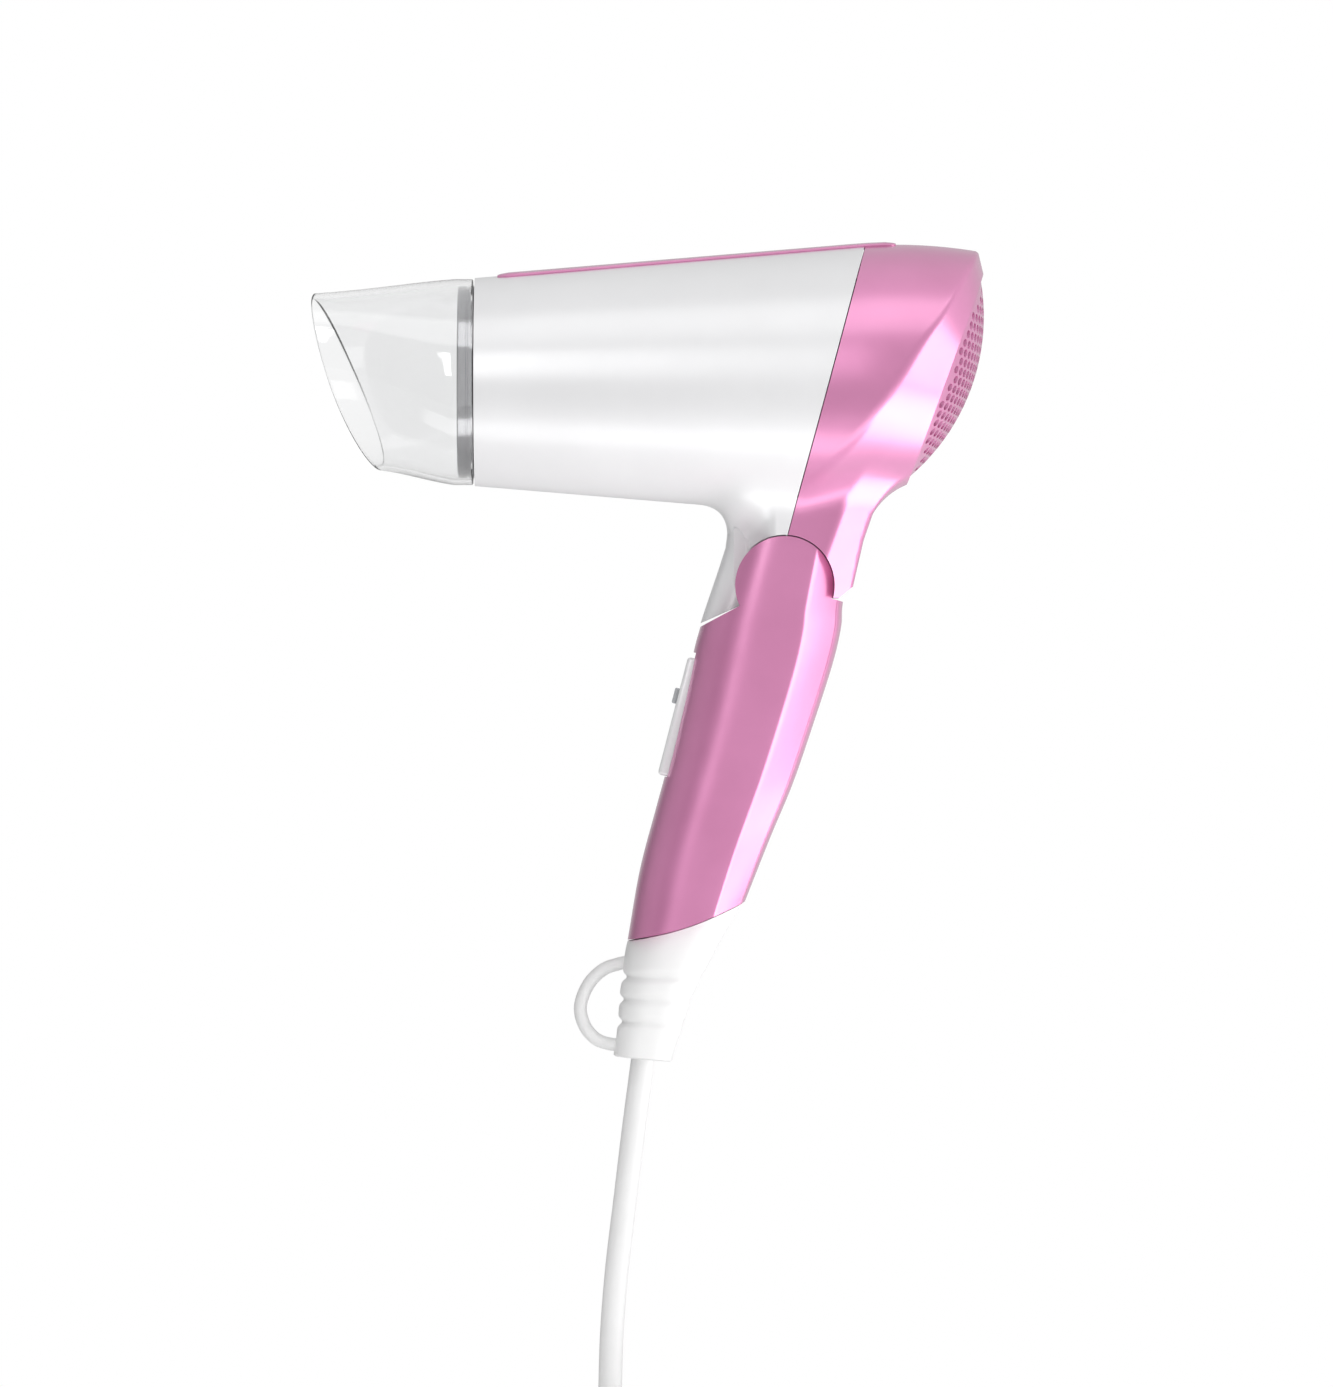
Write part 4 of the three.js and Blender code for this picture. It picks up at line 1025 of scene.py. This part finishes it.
HANDLE_FRONT = [(-12.8, 24.0), (-17.6, 8.0), (-20.6, -2.0), (-23.2, -11.4), (-24.8, -17.2),
                (-27.8, -31.0), (-31.8, -48.0), (-35.6, -62.0), (-40.0, -78.8), (-43.4, -98.2)]
HANDLE_REAR = [(23.0, 30.0), (19.8, 15.0), (18.0, 5.0), (16.3, -5.4), (15.9, -11.5),
               (13.6, -21.5), (8.5, -37.4), (2.6, -54.6), (-3.9, -70.2), (-10.8, -87.6)]


def handle_section(sides=30):
    """Half of the handle's section: shares from front to rear and half widths."""
    line = []
    front_end, crease, facet_end = 0.50, 0.73, 0.95
    for i in range(sides + 1):
        a = math.pi / 2 * i / sides
        c, s = math.cos(a) ** (2 / 2.6), math.sin(a) ** (2 / 2.6)
        line.append((front_end * (1 - c), HALF * s))
    for i in range(1, 7):
        t = i / 6
        line.append((front_end + (crease - 0.012 - front_end) * t, HALF - 0.5 * t * t))
    line.append((crease, HALF - 0.62))
    line.append((crease + 0.014, HALF - 0.95))
    for i in range(1, 8):
        t = i / 7
        line.append((crease + 0.014 + (facet_end - crease - 0.014) * t,
                     HALF - 0.95 - 6.3 * t - 0.5 * t * t))
    last = line[-1][1]
    for i in range(1, 13):
        a = math.pi / 2 * i / 12
        line.append((facet_end + (1 - facet_end) * math.sin(a), last * math.cos(a)))
    return line


def handle_ring(front, rear, inset=0.0, sag=0.0):
    """The section laid between a front and a rear point, drawn in by an inset, sagging midway."""
    f, r = np.array(front, float), np.array(rear, float)
    length = np.linalg.norm(r - f)
    scale = (HALF - inset) / HALF
    f, r = f + (r - f) * inset / length, r - (r - f) * inset / length
    line = handle_section()
    ring = []
    for side, points in ((-1, line), (1, line[-2:0:-1])):
        for share, half in points:
            x, z = f + (r - f) * share
            ring.append((x, side * half * scale, z - sag * math.sin(math.pi * share)))
    return ring


def handle_rows(start, end, count):
    """Pairs of front and rear points along the handle, from one share of its length to another."""
    front, rear = smooth_line(HANDLE_FRONT, 10), smooth_line(HANDLE_REAR, 10)
    shares = np.linspace(start, end, count) * (len(front) - 1)
    index = np.arange(len(front))
    sides = [np.stack([np.interp(shares, index, line[:, k]) for k in (0, 1)], axis=1)
             for line in (front, rear)]
    return list(zip(*sides))


SWITCH_X, SWITCH_Z = -28.8, -36.5
SWITCH_LEAN = math.radians(14.5)
PLATE_LONG, PLATE_WIDE, PLATE_PROUD = 16.8, 6.8, 2.1
SLIDE_TRAVEL = 11.0
KNOB_HALF = 2.2


def at_switch(points):
    """Local -X is out of the handle's front, local Z runs up along it."""
    x, y, z = np.asarray(points, float).T
    c, s = math.cos(SWITCH_LEAN), math.sin(SWITCH_LEAN)
    return np.stack((SWITCH_X + x * c + z * s, y, SWITCH_Z - x * s + z * c), axis=1)


def switch_box(name, low, high, edge=0.0):
    """A box between two corners of the switch's own frame, its edges rounded if asked."""
    low, high = np.array(low), np.array(high)
    obj = box_at(name, (low + high) / 2, (high - low) / 2)
    if edge:
        bevel(obj, edge, 3)
    set_points(obj, at_switch(points_of(obj)))
    return obj


def tongue_room():
    """The pocket between the ears: the wheel's room, the apron's sweep and the cable's way down."""
    inner = skin("inner", [handle_ring(f, r, WALL) for f, r in handle_rows(0.27, 0.62, 30)])
    boolean(inner, [box_at("slab", (0, 0, 0), (80, EAR_INNER, 100))], "INTERSECT")
    apron = [(0, 25.5), (1.9, 25.5), (5.5, 24.6), (7.2, 23.5), (8.8, 21.0), (EAR_INNER, 17.0),
             (EAR_INNER, 4.0)]
    profile = [(-y, r) for y, r in apron[::-1]] + apron[1:]
    sweep = disc("sweep", profile, 128, across(0, 0))
    sector = [on_circle(3, SHOULDER_ANGLE + 20)]
    sector += arc(40, SHOULDER_ANGLE - 6, SHOULDER_ANGLE + 73, 40)
    boolean(sweep, [prism("sector", sector, -40, 40)], "INTERSECT")
    above = [on_circle(12.4, SHOULDER_ANGLE + 0.9), on_circle(60, SHOULDER_ANGLE + 0.9), (-50, 60),
             (50, 60), (50, -3.5), (12.2, -3.5)]
    more = [sweep, prism("above", above, -EAR_INNER, EAR_INNER),
            pin("wheel", 0, 0, TONGUE_R + 0.6, -EAR_INNER, EAR_INNER, 96)]
    return boolean(inner, more, "UNION")


def handle_outline():
    """The side view that the handle keeps: everything below the shoulders, and the round ears."""
    ears = arc(EAR_R, SHOULDER_ANGLE, LIP_ANGLE - 1.5, 90)
    return [(-70, -130), (-70, -37.0), (-23.9, -11.75), *ears, (16.0, -4.4), (60, -8), (60, -130)]


SCREWS = [(-14, -52), (-23, -74)]
BOSS_R, SCREW_WAY_R, SCREW_HEAD_R = 3.4, 1.5, 2.9
HEAD_DEEP = 3.2
BOTTOM_SAG = 1.6
SAG_FROM = 0.8


def make_handle(mats):
    """The handle's two halves, round ears about the hinge and a pocket for the neck."""
    count = 90
    rings = []
    for k, (f, r) in enumerate(handle_rows(0, 1, count)):
        low = max(0.0, k / (count - 1) - SAG_FROM) / (1 - SAG_FROM)
        rings.append(handle_ring(f, r, 0, BOTTOM_SAG * low))
    outer = skin("handle", rings)
    boolean(outer, [prism("side_view", handle_outline(), -60, 60)], "INTERSECT")
    room = tongue_room()
    deep = skin("deep", [handle_ring(f, r, WALL) for f, r in handle_rows(0.5, 0.985, 40)])
    window = switch_box("window", (-14, -PLATE_WIDE - 0.25, -PLATE_LONG - 0.25),
                        (4, PLATE_WIDE + 0.25, PLATE_LONG + 0.25))
    dish = switch_box("dish", (-14, -PLATE_WIDE - 1.6, -PLATE_LONG - 8),
                      (-0.2, PLATE_WIDE + 1.6, PLATE_LONG + 1.6))
    boolean(outer, [room, deep, window, dish, boot_plug(GAP)])
    bosses = [pin("boss", x, z, BOSS_R, -HALF + 1.5, HALF - 1.5, 32) for x, z in SCREWS]
    boolean(outer, bosses, "UNION")
    holes = [pin("bush", 0, 0, BUSH_R + GAP, 2 - HALF, HALF - 2)]
    for x, z in SCREWS:
        holes.append(pin("screw_way", x, z, SCREW_WAY_R, -HALF + 5, HALF + 2, 24))
        holes.append(pin("screw_head", x, z, SCREW_HEAD_R, HALF - HEAD_DEEP, HALF + 2, 48))
    boolean(outer, holes)
    right = put("handle_far_half", outer.data.copy())
    outer.name = "handle_near_half"
    for half, side, node in ((outer, -1, "handle_left"), (right, 1, "handle_right")):
        middle = (0, side * (50 + GAP / 2), -30)
        boolean(half, [box_at("half", middle, (200, 50, 200))], "INTERSECT")
        finish_piece(half, mats["pink"], "handle", "pink_metallic", node, sharp=22)


def make_switch(mats):
    """The plate with its slot, and the ribbed button that slides in it."""
    low = (-PLATE_PROUD, -PLATE_WIDE, -PLATE_LONG)
    high = (1.6, PLATE_WIDE, PLATE_LONG)
    bezel = switch_box("switch_bezel", low, high, 0.9)
    slot = SLIDE_TRAVEL / 2 + KNOB_HALF + 0.3
    boolean(bezel, [switch_box("slot", (-9, -2.5, -slot), (9, 2.5, slot)),
                    switch_box("track", (-9, -4.6, -slot - 1), (-PLATE_PROUD + 0.5, 4.6, slot + 1))])
    finish_piece(bezel, mats["white"], "handle", "pearl_white", "switch_plate")
    rest = SLIDE_TRAVEL / 2
    stem = switch_box("slide_button", (-PLATE_PROUD - 0.6, -KNOB_HALF, rest - 2.0),
                      (1.6, KNOB_HALF, rest + 2.0))
    cap = switch_box("cap", (-PLATE_PROUD - 1.25, -4.1, rest - 2.2),
                     (-PLATE_PROUD + 0.2, 4.1, rest + 2.2), 0.4)
    boolean(stem, [cap], "UNION")
    ribs = [switch_box("rib", (-PLATE_PROUD - 2, -3.6, rest + d - 0.2),
                       (-PLATE_PROUD - 1.0, 3.6, rest + d + 0.2)) for d in (-1.2, 0, 1.2)]
    boolean(stem, ribs)
    finish_piece(stem, mats["grey"], "switch", "grey_plastic", "switch_knob")


# ---------------- cord boot

# Each row: the front point, the rear point and the half width, from the top down.
BOOT_ROWS = [
    ((-43.4, -98.6), (-11.6, -88.2), 13.6), ((-43.9, -100.6), (-15.2, -94.4), 13.0),
    ((-44.3, -103.0), (-17.9, -99.2), 12.4), ((-44.6, -105.6), (-20.2, -103.8), 11.8),
    ((-44.9, -108.6), (-22.6, -108.4), 11.2), ((-45.6, -113.4), (-25.0, -113.2), 10.4),
    ((-45.9, -118.0), (-26.8, -118.4), 9.7), ((-46.3, -122.6), (-28.2, -123.0), 9.1),
    ((-46.7, -126.6), (-29.8, -127.4), 8.5), ((-47.3, -130.2), (-31.0, -131.8), 8.1)]
LOOP_ROUTE = [(-41.5, 0, -104.2), (-45.5, 0, -104.9), (-50.2, 0, -106.6), (-54.2, 0, -110.6),
              (-56.5, 0, -116.6), (-55.4, 0, -122.0), (-52.2, 0, -125.8), (-48.0, 0, -127.3),
              (-43.0, 0, -127.4)]
BOOT_TOP = -98.7
LOOP_R = 1.8
LOOP_WIDE = 1.15
GROOVES = (9.9, 16.1, 22.3)
GROOVE_WIDTH = 1.05


def boot_plug(extra):
    """The boot's root inside the handle; with something extra, the room for it."""
    rings = []
    for front, rear in (((-37, -104), (-23, -99.5)), ((-33, -86), (-20, -82))):
        f, r = np.array((front[0] - extra, front[1])), np.array((rear[0] + extra, rear[1]))
        ring = []
        for u, v in rounded_slab(0.5, 0, 0.5, 7 + extra, 3.2):
            x, z = f + (r - f) * u
            ring.append((x, v, z))
        rings.append(ring)
    return skin("boot_plug", rings)


def make_boot(mats):
    """The ribbed boot and its hanging loop, one soft moulding."""
    steps = 12
    fronts = smooth_line([r[0] for r in BOOT_ROWS], steps)
    rears = smooth_line([r[1] for r in BOOT_ROWS], steps)
    halves = np.interp(np.arange(len(fronts)) / steps, range(len(BOOT_ROWS)),
                       [r[2] for r in BOOT_ROWS])
    rings = []
    for f, r, half in zip(fronts, rears, halves):
        down = BOOT_TOP - f[1]
        wave = max(math.exp(-((down - groove) / GROOVE_WIDTH) ** 2) for groove in GROOVES)
        sag = BOTTOM_SAG * max(0.0, 1 - down / 6)
        ring = []
        for u, v in rounded_slab(0.5, 0, 0.5, half, 2.5, 96):
            deep = wave * (1.25 - 0.95 * u)
            middle = f + (r - f) * 0.5
            x, z = f + (r - f) * u
            reach = max(math.hypot(x - middle[0], v), 1.0)
            x -= (x - middle[0]) * deep / reach
            ring.append((x, v * (1 - deep / reach), z - sag * math.sin(math.pi * u)))
        rings.append(ring)
    tip = np.array(rings[-1])
    centre = tip.mean(axis=0)
    rings.append(centre + (tip - centre) * 0.93 + (-0.05, 0, -0.35))
    boot = skin("cord_boot_moulding", rings)
    line = smooth_line(LOOP_ROUTE, 8)
    side = np.array((0.0, 1.0, 0.0))
    loop_rings = []
    for i, p in enumerate(line):
        ahead = line[min(i + 1, len(line) - 1)] - line[max(i - 1, 0)]
        ahead /= np.linalg.norm(ahead)
        up = np.cross(ahead, side)
        loop_rings.append([p + LOOP_R * (math.cos(a) * side * LOOP_WIDE + math.sin(a) * up)
                           for a in circle(28)])
    boolean(boot, [skin("loop", loop_rings), boot_plug(0.0)], "UNION")
    return finish_piece(boot, mats["cable"], "handle", "white_cable", "cord_boot", sharp=40)


# ---------------- the inner parts

INNER_FINISH = {
    "mica": ["mica_board_upright", "mica_board_level", "mica_sleeve"],
    "wire": ["heater_coil"],
    "steel": ["thermostat", "motor", "motor_shaft", "handle_screw_1", "handle_screw_2",
              "friction_washer_left", "friction_washer_right"],
    "brass": ["thermal_fuse"],
    "dark": ["motor_holder", "fan", "switch_body"],
    "board": ["rectifier_board"],
    "grey": ["hinge_bush"],
    "yellow": ["suppression_capacitor"],
}


def finish_inner(mats):
    for finish, nodes in INNER_FINISH.items():
        for node in nodes:
            paint(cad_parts[node], mats[finish])


# ---------------- the scene

make_camera()
make_stage()
finishes = make_materials()
lead = make_cord(finishes)
plug = make_plug(finishes)
blades = make_pins(finishes)
tie = make_tie(finishes)
boot = make_boot(finishes)
make_housings(finishes)
make_trim(finishes)
make_grille(finishes)
make_nozzle(finishes)
make_outlet(finishes)
make_handle(finishes)
make_switch(finishes)
finish_inner(finishes)
